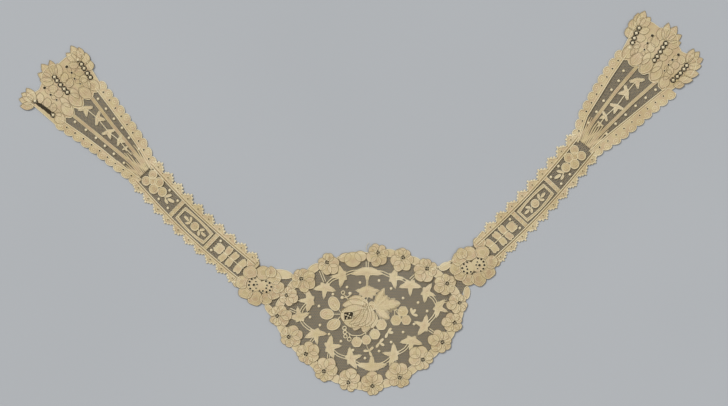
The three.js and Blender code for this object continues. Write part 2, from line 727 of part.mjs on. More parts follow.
function addFan(parent, strap) {
  const fan = FANS[strap.side];
  const { sections } = fan;
  const far_side = 60;
  const strap_side = placed(rectangle(-far_side, SEAM_GAP / 2, -far_side, far_side), { turn: -fan.turn });
  const strap_cut = wall(strap_side, MOTIF_WALL * 4).translate(0, 0, -MOTIF_WALL);

  const edging_to = HEAVY_FROM - SEAM_GAP;
  const throat = sections[0].along;
  const neck_edge = fanEdge(strap, sections, 'neck_edge', 1, throat, edging_to);
  const far_edge = fanEdge(strap, sections, 'far_edge', -1, throat, edging_to);
  const net_outline = [...far_edge, ...neck_edge.slice().reverse()];
  const heavy = heavyOutlines(strap);
  const slots = slotOutlines(strap);
  const pleats = PLEATS.map((pleat) => [
    new THREE.Vector2(PLEAT_FROM, (pleat.across - PLEAT_HALF.throat) * strap.neck),
    new THREE.Vector2(PLEAT_TO, (pleat.fan_out - PLEAT_HALF.mouth) * strap.neck),
    new THREE.Vector2(PLEAT_TO, (pleat.fan_out + PLEAT_HALF.mouth) * strap.neck),
    new THREE.Vector2(PLEAT_FROM, (pleat.across + PLEAT_HALF.throat) * strap.neck),
  ]);
  const net = joined(
    [
      ...[net_outline, ...heavy].map((outline) => wall(outline, NET_WALL)),
      ...pleats.map((outline) => wall(outline, PLEAT_HEIGHT)),
    ],
    [strap_cut, ...slots.map(cutter)],
  );
  addPiece(parent, `net_fan_${strap.side}`, MATERIALS.net, net, 0);

  for (const [name, sign, edge] of [['neck', 1, neck_edge], ['far', -1, far_edge]]) {
    const rows = sections.map((row) => row.along).filter((along) => along < edging_to);
    const lane = [edging_to, ...rows.reverse()].map((along) => {
      const across = fanValue(sections, `${name}_lane`, along);
      return new THREE.Vector2(along, across * strap.neck);
    });
    const band = joined([wall([...edge, ...lane], MOTIF_WALL)], [strap_cut]);
    addPiece(parent, `fan_edging_${name}_${strap.side}`, MATERIALS.edging, band);
  }

  for (const name of ['neck', 'far']) {
    const path = fan.tapes.map((row) => new THREE.Vector2(row.along, row[name] * strap.neck));
    const tape = motif([tapeOutline(path, FAN_TAPE_WIDTH)]);
    addPiece(parent, `fan_tape_${name}_${strap.side}`, MATERIALS.edging, tape);
  }

  const leaf_path = fan.leaves.map((leaf) => new THREE.Vector2(leaf.along, leaf.across * strap.neck));
  const leaves = fan.leaves.map((leaf, index) =>
    placed(leafOutline(IVY_ROWS, IVY_REACH * leaf.size), {
      x: leaf_path[index].x,
      y: leaf_path[index].y,
      turn: leaf.turn * strap.neck,
    }),
  );
  const vine = tapeOutline(leaf_path, VINE_WIDTH);
  addPiece(parent, `fan_ivy_${strap.side}`, MATERIALS.motif, motif([...leaves, vine]));

  addPiece(parent, `heavy_end_${strap.side}`, MATERIALS.openwork, motif(heavy, slots));
}

const medallion = new THREE.Group();
collar.add(medallion);
addMedallionNet(medallion);
addBorder(medallion);
addWreath(medallion);
addRoseSpray(medallion);

for (const strap of STRAPS) {
  const strap_group = new THREE.Group();
  strap_group.position.set(strap.x, strap.y, 0);
  strap_group.rotation.z = degToRad(strap.turn);
  collar.add(strap_group);
  addStrapNet(strap_group, strap);
  addStrapEdgings(strap_group, strap);
  addStrapMotifs(strap_group, strap);
  const blossoms = motif(footOutlines(strap), footHoles(strap));
  addPiece(strap_group, `junction_blossoms_${strap.side}`, MATERIALS.openwork, blossoms);

  const fan_group = new THREE.Group();
  fan_group.position.set(strap.length, 0, 0);
  fan_group.rotation.z = degToRad(FANS[strap.side].turn);
  strap_group.add(fan_group);
  addFan(fan_group, strap);
}

export default collar;
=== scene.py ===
"""A lace collar, machine net with applied blossoms, laid flat and open with its face up."""
from functools import partial

import bpy
import numpy as np
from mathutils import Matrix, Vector


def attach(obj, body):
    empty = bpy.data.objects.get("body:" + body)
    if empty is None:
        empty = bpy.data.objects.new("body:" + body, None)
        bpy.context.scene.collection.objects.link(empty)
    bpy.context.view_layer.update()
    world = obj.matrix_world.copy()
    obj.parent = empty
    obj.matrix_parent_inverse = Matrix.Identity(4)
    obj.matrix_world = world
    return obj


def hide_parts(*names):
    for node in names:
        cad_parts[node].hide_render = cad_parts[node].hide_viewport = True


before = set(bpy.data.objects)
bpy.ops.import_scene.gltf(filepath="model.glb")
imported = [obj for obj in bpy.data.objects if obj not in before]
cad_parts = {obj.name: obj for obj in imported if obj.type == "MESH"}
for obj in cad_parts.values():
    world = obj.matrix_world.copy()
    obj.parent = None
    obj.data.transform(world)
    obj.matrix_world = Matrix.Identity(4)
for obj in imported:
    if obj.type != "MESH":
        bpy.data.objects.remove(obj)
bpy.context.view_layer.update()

# ---------------------------------------------------------------------------------------------
# Net ground. Cotton bobbin net, made by machine in panels: one for the medallion, one for each
# strap and one for each fan, which is drawn together at its throat. The panels lie on the table
# with their face up, and everything else is sewn on them.

MM = 0.001
# Each strap: where its own origin lies, which way it runs, which way across is the neck's side, its
# length, how far it bows, and the turn of its fan against it.
STRAPS = {
    "left": dict(x=-101.6, y=-58.4, turn=136.1, neck=-1, length=126.4, bow=3.0, fan_turn=-2.1),
    "right": dict(x=110.8, y=-40.6, turn=46.9, neck=1, length=129.6, bow=2.8, fan_turn=4.9),
}
# Where the cloth stands a little off the table, in long low swells.
SWELLS = np.array([
    # x, y, turn, length, width, height
    (-38, -74, 35, 60, 16, 0.7),
    (12, -120, -20, 55, 14, 0.8),
    (58, -84, 70, 40, 18, 0.6),
    (-20, -140, 60, 30, 16, 0.6),
    (84, -112, 20, 26, 22, 0.8),
    (-84, -70, 136, 34, 10, 0.8),
    (-128, -34, 130, 40, 9, 0.7),
    (-170, 14, 142, 36, 10, 0.9),
    (-222, 52, 120, 30, 26, 0.9),
    (-262, 104, 40, 44, 13, 1.0),
    (98, -52, 47, 30, 12, 0.9),
    (140, -8, 52, 44, 8, 0.6),
    (182, 30, 40, 34, 12, 0.9),
    (226, 88, 62, 34, 24, 0.9),
    (262, 130, -40, 46, 12, 1.0),
])
# Height of the net's underside over the table.
NET_FLOOR = 0.12
NET_THREAD = dict(width=0.24, height=0.2)
# From one mesh of the net to the next. Real bobbin net has about 1 mm, too fine to show.
NET_PITCH = 1.6
# How the net's threads wander: how far, and the length and start of the wave each way.
WANDER = dict(out=0.22, length=(5.3, 7.1), start=(0.4, 1.3))


def turned(points, turn):
    """Points turned about the origin by turn degrees, anticlockwise."""
    angle = np.radians(turn)
    x, y = points[..., 0], points[..., 1]
    flat = [x * np.cos(angle) - y * np.sin(angle), x * np.sin(angle) + y * np.cos(angle)]
    return np.stack([*flat, *np.moveaxis(points[..., 2:], -1, 0)], -1)


def on_strap(side, points):
    """Points from a strap's own (along, across, ...) to the collar's millimetres: the bow, half a
    sine wave over the strap's length, is taken off across, which grows towards the neck."""
    strap = STRAPS[side]
    placed = points.copy()
    bow = strap["bow"] * np.sin(np.pi * points[..., 0] / strap["length"])
    placed[..., 1] = (points[..., 1] - bow) * strap["neck"]
    placed = turned(placed, strap["turn"])
    placed[..., :2] += strap["x"], strap["y"]
    return placed


def on_fan(side, points):
    """Points from a fan's own (along, across, ...) to the collar's millimetres."""
    strap = STRAPS[side]
    placed = points.copy()
    placed[..., 1] *= strap["neck"]
    placed = turned(placed, strap["fan_turn"])
    placed[..., 0] += strap["length"]
    placed = turned(placed, strap["turn"])
    placed[..., :2] += strap["x"], strap["y"]
    return placed


def same(points):
    """Points that are in the collar's own millimetres already."""
    return points


def raised(plan, level):
    """Points of a plan (..., 2) at a level: one height, or one for each point."""
    return np.concatenate([plan, np.broadcast_to(level, plan.shape[:-1])[..., None]], -1)


def round_points(columns):
    """Points on a circle of radius 1, anticlockwise from +x."""
    turn = 2 * np.pi * np.arange(columns) / columns
    return np.stack([np.cos(turn), np.sin(turn)], -1)


def swell(points):
    """Height of the cloth over the table: each swell is a bell curve along and across its turn."""
    x, y, turn, length, width, height = SWELLS.T
    offset = points[..., None, :2] - np.stack([x, y], -1)
    angle = np.radians(turn)
    along = offset[..., 0] * np.cos(angle) + offset[..., 1] * np.sin(angle)
    aside = offset[..., 1] * np.cos(angle) - offset[..., 0] * np.sin(angle)
    return (height * np.exp(-((along / length) ** 2) - (aside / width) ** 2)).sum(-1)


def put(name, finishes, points, faces, nodes, marks=None, smooth=(True, True)):
    """One piece from points in millimetres and two arrays of faces, laid on the swells. marks are
    values on the points. With two finishes each array of faces has its own."""
    placed = points.astype(float)
    placed[:, 2] += swell(points)
    mesh = bpy.data.meshes.new(name)
    sizes = np.concatenate([np.full(len(block), block.shape[1]) for block in faces])
    mesh.vertices.add(len(placed))
    mesh.vertices.foreach_set("co", (placed * MM).ravel())
    mesh.loops.add(int(sizes.sum()))
    mesh.loops.foreach_set("vertex_index", np.concatenate([block.ravel() for block in faces]))
    mesh.polygons.add(len(sizes))
    mesh.polygons.foreach_set("loop_start", np.cumsum(sizes) - sizes)
    mesh.polygons.foreach_set("loop_total", sizes)
    counts = [len(block) for block in faces]
    mesh.polygons.foreach_set("use_smooth", np.repeat(smooth, counts))
    mesh.polygons.foreach_set("material_index", np.repeat([0, len(finishes) - 1], counts))
    for key, values in (marks or {}).items():
        kind, field = ("FLOAT", "value") if values.ndim == 1 else ("FLOAT_VECTOR", "vector")
        mesh.attributes.new(key, kind, "POINT").data.foreach_set(field, values.ravel())
    mesh.update(calc_edges=True)
    mesh.validate()
    piece = bpy.data.objects.new(name, mesh)
    bpy.context.collection.objects.link(piece)
    for finish in finishes:
        mesh.materials.append(finish)
    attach(piece, "root")
    if nodes:
        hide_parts(*nodes)
    return piece


def linear(sheet):
    """Linear colour of an sRGB hex value."""
    shares = np.array([int(sheet[place : place + 2], 16) for place in (1, 3, 5)]) / 255
    low = shares <= 0.04045
    return (*np.where(low, shares / 12.92, ((shares + 0.055) / 1.055) ** 2.4), 1.0)


def feed(tree, node, feeds):
    """Gives a node's sockets their values, or joins them to the outputs that feed them."""
    for key, value in feeds.items():
        if isinstance(value, bpy.types.NodeSocket):
            tree.links.new(value, node.inputs[key])
        else:
            node.inputs[key].default_value = value
    return node


def add(tree, kind, feeds, **settings):
    """A new node with its settings and what feeds it."""
    node = tree.nodes.new(kind)
    for key, value in settings.items():
        setattr(node, key, value)
    return feed(tree, node, feeds)


def blend(tree, factor, low, high):
    """A colour between two, which are outputs or sRGB hex values."""
    low, high = (linear(colour) if isinstance(colour, str) else colour for colour in (low, high))
    return add(tree, "ShaderNodeMix", {"Factor": factor, 6: low, 7: high}, data_type="RGBA").outputs[2]


def noise(tree, place, scale, detail):
    """Clouds through the piece's own space, so many to the metre."""
    feeds = {"Vector": place, "Scale": scale, "Detail": detail}
    return add(tree, "ShaderNodeTexNoise", feeds).outputs["Fac"]


def finish_of(name):
    """A new material with an empty Principled shader, its node tree and the shader."""
    made = bpy.data.materials.new(name)
    made.use_nodes = True
    return made, made.node_tree, made.node_tree.nodes["Principled BSDF"]


def clouded_finish(name, scale, detail, low, high, feeds):
    """A matt finish whose colour drifts between two."""
    made, tree, shader = finish_of(name)
    place = add(tree, "ShaderNodeTexCoord", {}).outputs["Object"]
    colour = blend(tree, noise(tree, place, scale, detail), low, high)
    feed(tree, shader, {"Base Color": colour, **feeds})
    return made


def sheer_shade_finish(name, colour, alpha):
    """One dull tint which covers a share of what lies under it: fibres too fine to draw one by one, in a dark
    colour that paints shade on what they cover.
    """
    made, tree, shader = finish_of(name)
    feed(tree, shader, {"Base Color": linear(colour), "Roughness": 1.0, "Alpha": alpha})
    return made


# Two-ply cotton, gassed smooth and gone the colour of weak tea: a soft matt thread whose tone drifts
# every few centimetres, where the net was washed and handled.
NET_THREAD_FINISH = clouded_finish(
    "cotton_net_thread", 45.0, 3.0, "#a08d68", "#bba981", {"Roughness": 0.85, "Sheen Weight": 0.15}
)
# The loose fibres that cross each mesh of the net, drawn as a dark tint between its threads: partly their own
# colour, partly painted shade under the net.
NET_HAZE_AND_SHADE_FINISH = sheer_shade_finish("cotton_net_haze_and_shade", "#544831", 0.5)
# Painted shade for the openings: a dark, nearly opaque tint on discs that lie behind them.
OPENING_SHADE_FINISH = sheer_shade_finish("painted_opening_shade", "#453c2c", 0.78)


def net_cells(low, high):
    """Middles of the net's meshes over a rectangle: rows three quarters of a mesh's corner-to-corner
    height apart, every other row moved by half a pitch."""
    rows = np.arange(low[1], high[1], NET_PITCH * np.sqrt(3) / 2)
    columns = np.arange(low[0], high[0], NET_PITCH)
    y, x = np.meshgrid(rows, columns, indexing="ij")
    x = x + NET_PITCH / 2 * (np.arange(len(rows))[:, None] % 2)
    return np.stack([x.ravel(), y.ravel()], -1)


def inside(points, ring):
    """True for the points inside a ring of corners: the ring is crossed an odd number of times on
    the way out along x."""
    x, y = points[:, 0, None], points[:, 1, None]
    start, end = ring, np.roll(ring, -1, 0)
    spans = (start[:, 1] > y) != (end[:, 1] > y)
    slope = (end[:, 0] - start[:, 0]) / np.where(end[:, 1] == start[:, 1], 1, end[:, 1] - start[:, 1])
    return ((spans & (x < start[:, 0] + (y - start[:, 1]) * slope)).sum(1) % 2).astype(bool)


def net_sheet(name, cells, place, nodes, flat):
    """A sheet of net: six-sided meshes, each a floor of haze, a dark tint that is partly painted
    shade, inside a ring of thread whose sides rise to a ridge that it shares with its neighbours.
    Where the placing turns the sheet over, its faces are turned back."""
    angles = np.radians(30 + 60 * np.arange(6))
    corners = cells[:, None] + NET_PITCH / np.sqrt(3) * np.stack([np.cos(angles), np.sin(angles)], -1)
    step = np.array([NET_PITCH / 2, NET_PITCH / np.sqrt(12)])
    keys = np.round((corners.reshape(-1, 2) - cells[0]) / step).astype(int)
    _, first, knot = np.unique(keys, axis=0, return_index=True, return_inverse=True)
    knots = corners.reshape(-1, 2)[first]
    floors = cells[:, None] + (corners - cells[:, None]) * (1 - NET_THREAD["width"] / NET_PITCH)
    plan = np.concatenate([knots, floors.reshape(-1, 2)])
    wander = WANDER["out"] * np.sin(plan[:, ::-1] / WANDER["length"] + WANDER["start"])
    heights = np.full(len(plan), NET_FLOOR)
    heights[: len(knots)] += NET_THREAD["height"]
    points = place(raised(plan + wander, heights))
    ridge = knot.reshape(-1, 6)
    floor = len(knots) + np.arange(len(floors) * 6).reshape(-1, 6)
    slopes = np.stack([ridge, np.roll(ridge, -1, 1), np.roll(floor, -1, 1), floor], -1)
    faces = [slopes.reshape(-1, 4), floor]
    ring = points[floor[0], :2] - points[floor[0, 0], :2]
    if ring[1, 0] * ring[2, 1] < ring[1, 1] * ring[2, 0]:
        faces = [block[:, ::-1] for block in faces]
    finishes = [NET_THREAD_FINISH, NET_HAZE_AND_SHADE_FINISH]
    piece = put(name, finishes, points, faces, nodes, smooth=(True, False))
    flat = (flat[0] * MM, flat[1] * MM)


MEDALLION_MIDDLE = np.array([9.0, -101.0])
# The size of the medallion's net, and a rectangle that holds it.
MEDALLION_FLAT = (185, 125)
MEDALLION_BOX = ((-110, -165), (110, -35))
# Border blossoms, clockwise from the left strap: middle and reach of the petals.
BORDER = np.array([
    (-50.5, -66.5, 10.6),
    (-28.5, -52.5, 9.4),
    (14.5, -44.5, 9.8),
    (36.0, -48.5, 10.2),
    (56.5, -58.0, 10.4),
    (74.0, -70.5, 9.6),
    (85.0, -87.0, 8.9),
    (80.5, -104.0, 8.7),
    (69.5, -120.5, 10.2),
    (52.5, -135.0, 10.8),
    (33.0, -150.0, 11.2),
    (10.0, -157.5, 10.2),
    (-10.5, -154.5, 9.8),
    (-31.0, -145.0, 10.6),
    (-46.5, -130.5, 10.0),
    (-61.5, -116.0, 9.9),
    (-71.5, -98.0, 9.6),
    (-64.0, -80.5, 8.3),
])
# A pod hangs between these two of them, the second and the third.
POD_AFTER = 1
POD = (-7.5, -47.0)
# The net stops under the border, this far outside the blossoms' middles.
NET_PAST_BORDER = 3.0
# The net's feet under the junctions: along and across each strap.
FOOT_NET = {
    "left": [(-44, -13), (-34, -12), (-14, -10), (-14, 14), (-22, 18), (-33, 21), (-44, 12)],
    "right": [
        (-44, -13), (-34, -12), (-14, -10), (-14, 10), (-25, 13), (-34.6, 15.6), (-41, 20.4), (-47, 22),
    ],
}

rim = np.insert(BORDER[:, :2], POD_AFTER + 1, POD, axis=0)
outward = rim - MEDALLION_MIDDLE
rim = rim + NET_PAST_BORDER * outward / np.linalg.norm(outward, axis=1)[:, None]
cells = net_cells(*MEDALLION_BOX)
covered = inside(cells, rim)
for side in STRAPS:
    covered |= inside(cells, on_strap(side, np.array(FOOT_NET[side], float)))
net_sheet("medallion_net", cells[covered], same, ["net_medallion"], MEDALLION_FLAT)

# Half the width of the net that shows between a strap's bands, and how far it goes on under them.
LANE_HALF = 8.9
NET_UNDER_BAND = 2.2
# How far a strap's net goes on under its junction.
STRAP_FOOT = 15.0
for side, strap in STRAPS.items():
    half = LANE_HALF + NET_UNDER_BAND
    cells = net_cells((-STRAP_FOOT - 0.5, -half), (strap["length"] - 1, half))
    flat = (2 * half, strap["length"] + STRAP_FOOT)
    net_sheet(f"strap_net_{side}", cells, partial(on_strap, side), [f"net_strap_{side}"], flat)

# Sections of each fan from its throat outwards: the outer edges and the inner edges of its bands.
FAN_SECTIONS = {
    "left": np.array([
        # along, neck edge, far edge, neck lane, far lane
        (-4, 12.0, -11.5, 6.5, -5.5),
        (20, 19.4, -14.6, 12.2, -9.6),
        (40, 22.6, -17.4, 15.4, -11.8),
        (60, 25.6, -21.0, 18.2, -15.0),
        (92, 29.4, -28.0, 22.0, -21.6),
    ]),
    "right": np.array([
        (-4, 12.0, -11.5, 6.5, -5.5),
        (20, 20.6, -20.2, 14.6, -10.0),
        (40, 23.8, -24.4, 16.8, -14.6),
        (60, 26.4, -28.4, 19.2, -19.0),
        (92, 27.6, -36.0, 21.4, -26.6),
    ]),
}
FAN_NET = dict(start=1.0, end=89.0, half_width=27.0)


def fan_column(side, column, along):
    """One edge of a fan's bands, read from its sections in straight lines between the rows."""
    sections = FAN_SECTIONS[side]
    return np.interp(along, sections[:, 0], sections[:, column])


def gathered(side, points):
    """Points of a fan's flat net drawn together at the throat: the width at each distance along it
    is shared out evenly between its bands."""
    low = fan_column(side, 4, points[..., 0]) - NET_UNDER_BAND
    high = fan_column(side, 3, points[..., 0]) + NET_UNDER_BAND
    share = (points[..., 1] / FAN_NET["half_width"] + 1) / 2
    drawn = points.copy()
    drawn[..., 1] = low + (high - low) * share
    return on_fan(side, drawn)


for side in STRAPS:
    half = FAN_NET["half_width"]
    cells = net_cells((FAN_NET["start"], -half), (FAN_NET["end"], half))
    flat = (2 * half, FAN_NET["end"])
    net_sheet(f"fan_net_{side}", cells, partial(gathered, side), [f"net_fan_{side}"], flat)

# ---------------------------------------------------------------------------------------------
# Border blossoms. Linen lace worked with bobbins on a pillow: seven petals of half stitch round an
# open eye, each edged with a raised cord of thicker thread. A small worked leaf ties each blossom
# to the next along the outer edge, and all are sewn down on the edge of the net.

# The underside of the worked lace, just over the net, and the radius of its raised cords.
WORK_FLOOR = 0.36
CORD = 0.42
# A petal's or leaf's skin from its middle to its edge and back under: share of the outline, height.
CUSHION = np.array([
    (0.2, 1.0), (0.45, 0.95), (0.68, 0.8), (0.86, 0.55), (1.0, 0.25), (0.98, 0.0), (0.5, 0.0),
])
# The same for a knot of thread and for a flat disc.
KNOT = np.array([(0.45, 1.0), (0.85, 0.7), (1.0, 0.3), (0.8, 0.0)])
DISC = np.array([(0.5, 1.0), (1.0, 1.0), (1.0, 0.0), (0.5, 0.0)])
# The skin of the pad round an opening: share of the way in from its outer edge, height.
RIM_PAD = np.array([(1, 0.1), (0.5, 0.14), (0, 0.1), (0, 0.0), (0.5, 0.0), (1, 0.0)])
# How much closer the work is at a shape's edge than in its middle; the more open middle is painted darker, as
# painted shade showing through.
CLOSER_AT_EDGE = 0.4
# The line of pinholes that parts one petal from the next, drawn as a thin dark cord: painted shade in the
# crease.
PINHOLE_SHADE = dict(lift=0.36, radius=0.27, work=-0.66)


def shell(rings, grain, work, looped=False):
    """Closed skins from blocks of rings (skins, rings, columns, 3): each ring joins the next, and
    the end rings join if looped, or close on a point in their middle. A skin whose volume comes
    out negative has its faces turned. grain is the way the threads run, in millimetres, and work
    is how close they lie, from 0, open half stitch, to 1, cord, and below 0 for pinholes, which
    the lace's finish turns into painted shade and painted highlight."""
    skins, count, columns = rings.shape[:3]
    column = np.arange(columns)
    start = np.arange(count if looped else count - 1)[:, None] * columns + column
    end = (start + columns) % (count * columns)
    quads = np.stack([start, end, np.roll(end, -1, 1), np.roll(start, -1, 1)], -1).reshape(-1, 4)
    points, grain = rings.reshape(skins, -1, 3), grain.reshape(skins, -1, 3)
    worked = np.broadcast_to(work, rings.shape[:3]).reshape(skins, -1)
    caps = np.zeros((0, 3), int)
    if not looped:
        worked = np.concatenate([worked, worked[:, [0, -1]]], 1)
        points = np.concatenate([points, rings[:, [0, -1]].mean(2)], 1)
        grain = np.concatenate([grain, grain[:, [0, -1]]], 1)
        last, after = (count - 1) * columns + column, np.roll(column, -1)
        first_cap = np.stack([np.full(columns, count * columns), column, after], -1)
        last_cap = np.stack([np.full(columns, count * columns + 1), last[after], last], -1)
        caps = np.concatenate([first_cap, last_cap])
    sides = np.concatenate([caps, quads[:, :3], quads[:, [0, 2, 3]]])
    corners = (points - points[:, :1])[:, sides]
    volume = (np.cross(corners[:, :, 0], corners[:, :, 1]) * corners[:, :, 2]).sum((1, 2))
    offset = np.arange(skins)[:, None, None] * points.shape[1]
    faces = []
    for block in (quads, caps):
        block = np.where(volume[:, None, None] < 0, block[:, ::-1], block) + offset
        faces.append(block.reshape(-1, block.shape[-1]))
    return [points.reshape(-1, 3), *faces, grain.reshape(-1, 3), worked.ravel()]


def lay(name, parts, nodes, finish=None):
    """Sews shells together into one piece of lace and lays it in its CAD nodes' place."""
    starts = np.cumsum([0] + [len(part[0]) for part in parts[:-1]])
    points, grain, work = (np.concatenate([part[k] for part in parts]) for k in (0, 3, 4))
    faces = [np.concatenate([part[k] + at for part, at in zip(parts, starts)]) for k in (1, 2)]
    put(name, [finish or LACE_FINISH], points, faces, nodes, dict(grain=grain, work=work))


def moved(points, x, y, turn=0.0):
    """Blocks of points (count, ..., 2 or more) turned and moved, each by its own x, y and turn."""
    lead = (slice(None),) + (None,) * (points.ndim - 2)
    x, y, turn = (np.broadcast_to(value, len(points))[lead] for value in (x, y, turn))
    placed = turned(points, turn)
    placed[..., 0] += x
    placed[..., 1] += y
    return placed


def cords(paths, radius=CORD, looped=True, sides=6, place=same, work=1.0):
    """Round cords along paths (count, points, 3): each ring stands square to its path, and its
    grain is the distance along and the place round the cord. radius may vary along the path."""
    step = np.roll(paths, -1, 1) - np.roll(paths, 1, 1) if looped else np.gradient(paths, axis=1)
    ahead = step / np.linalg.norm(step, axis=-1, keepdims=True)
    aside = raised(np.stack([-ahead[..., 1], ahead[..., 0]], -1), 0.0)
    aside /= np.linalg.norm(aside, axis=-1, keepdims=True)
    over = np.cross(ahead, aside)
    size = np.broadcast_to(radius, paths.shape[:2])[..., None, None]
    round_it = size * round_points(sides)
    rings = paths[:, :, None] + round_it[..., :1] * aside[:, :, None] + round_it[..., 1:] * over[:, :, None]
    length = np.cumsum(np.linalg.norm(step, axis=-1) / 2, axis=1)
    length = np.broadcast_to(length[..., None, None], (*rings.shape[:3], 1))
    return shell(place(rings), np.concatenate([length, round_it], -1), work, looped)


def threads(paths, radius, place=same):
    """Fine cords with free ends, for which five sides are enough."""
    return cords(paths, radius, looped=False, sides=5, place=place)


def cushions(
    outlines, x=0.0, y=0.0, turn=0.0, crown=0.45, work=0.2, floor=WORK_FLOOR, ribs=(0.0, 20.0),
    place=same, profile=CUSHION,
):
    """Low closed cushions over outlines (count, columns, 2): each ring is a share of the way from
    the outline's middle to its edge, and the crown falls off by the profile. ribs are a height and
    the degrees between the ribs, which run out from the outline's origin. The work is more open in
    the middle than at the edge, so the middle is painted darker, as painted shade."""
    share, height = profile.T
    middle = outlines.mean(1)[:, None, None]
    plan = middle + share[:, None, None] * (outlines[:, None] - middle)
    bearing = np.arctan2(plan[..., 1], plan[..., 0])
    level = floor + crown * height[:, None] + ribs[0] * height[:, None] * np.cos(bearing * 360 / ribs[1])
    worked = (work + CLOSER_AT_EDGE * (share - 0.7))[:, None]
    return shell(place(moved(raised(plan, level), x, y, turn)), raised(plan, 0.0), worked)


def edged(outlines, x=0.0, y=0.0, turn=0.0, cord=CORD, lift=0.0, crease=0.0, place=same, **cushion):
    """Worked shapes: a cushion, a raised cord round its edge and, if there is a crease, a line of
    pinholes that far outside the edge, a dark cord of painted shade."""
    floor = WORK_FLOOR + lift
    parts = [cushions(outlines, x, y, turn, floor=floor, place=place, **cushion)]
    parts.append(cords(moved(raised(outlines, floor + cord * 0.75), x, y, turn), cord, place=place))
    if crease:
        spoke = outlines - outlines.mean(1)[:, None]
        line = outlines + crease * spoke / np.linalg.norm(spoke, axis=-1, keepdims=True)
        line = moved(raised(line, floor + PINHOLE_SHADE["lift"]), x, y, turn)
        parts.append(cords(line, PINHOLE_SHADE["radius"], sides=5, place=place, work=PINHOLE_SHADE["work"]))
    return parts


def rim_pad(hole, ground, x, y, work=0.2, place=same):
    """A low pad round an opening: its skin runs from the hole's outline out to the ground's, which
    has as many points, and back underneath."""
    share, height = RIM_PAD.T
    plan = hole + share[:, None, None] * (ground - hole)
    skin = raised(plan, WORK_FLOOR + height[:, None])[None]
    return shell(place(moved(skin, x, y)), raised(plan, 0.0)[None], work, looped=True)


def petal(length, width, start=1.3, columns=18):
    """Petal outlines along +x from a start near the origin: a circle stretched to the length and
    the width and drawn in towards the start."""
    turn = 2 * np.pi * np.arange(columns) / columns
    out = (1 - np.cos(turn)) / 2
    across = np.sin(turn) * (0.4 + 0.6 * out)
    return np.stack([start + (length - start) * out, width / 2 * across / np.abs(across).max()], -1)[None]


def oval(half_length, half_width, columns=16):
    """An ellipse round the origin."""
    return round_points(columns)[None] * [half_length, half_width]


def ring_path(radius, level, columns=14):
    """A level circle round the origin."""
    return raised(oval(radius, radius, columns), level)


def beads(spots, radius, lift=0.0, place=same, columns=7):
    """Small round knots of thread on the spots (count, 2)."""
    outlines = np.broadcast_to(oval(radius, radius, columns), (len(spots), columns, 2))
    x, y = np.array(spots, float).T
    floor = WORK_FLOOR + lift
    return cushions(outlines, x, y, crown=radius * 0.8, work=1.0, floor=floor, place=place, profile=KNOT)


def shade_discs(spots, half_length, half_width, turn=0.0, place=same):
    """Thin dark discs behind openings, between the net and the worked lace: painted shade that makes the
    openings look dark.
    """
    x, y = np.array(spots, float).T
    outlines = np.broadcast_to(oval(half_length, half_width, 18), (len(spots), 18, 2))
    floor = WORK_FLOOR - 0.03
    return cushions(outlines, x, y, turn, crown=0.02, floor=floor, place=place, profile=DISC)


def smoothed(spots):
    """A line through the spots, eight steps to each stretch, rounded by averaging each point with
    its neighbours a few times."""
    spots = np.array(spots, float)
    at = np.linspace(0, len(spots) - 1, 8 * (len(spots) - 1) + 1)
    line = np.stack([np.interp(at, range(len(spots)), spots[:, k]) for k in (0, 1)], -1)
    for _ in range(6):
        line[1:-1] = (line[:-2] + 2 * line[1:-1] + line[2:]) / 4
    return line


def stems(paths, cord=0.4, level=WORK_FLOOR + 0.12, place=same):
    """Single cords along smoothed lines, one for each list of spots."""
    return [cords(raised(smoothed(spots), level)[None], cord, looped=False, place=place) for spots in paths]


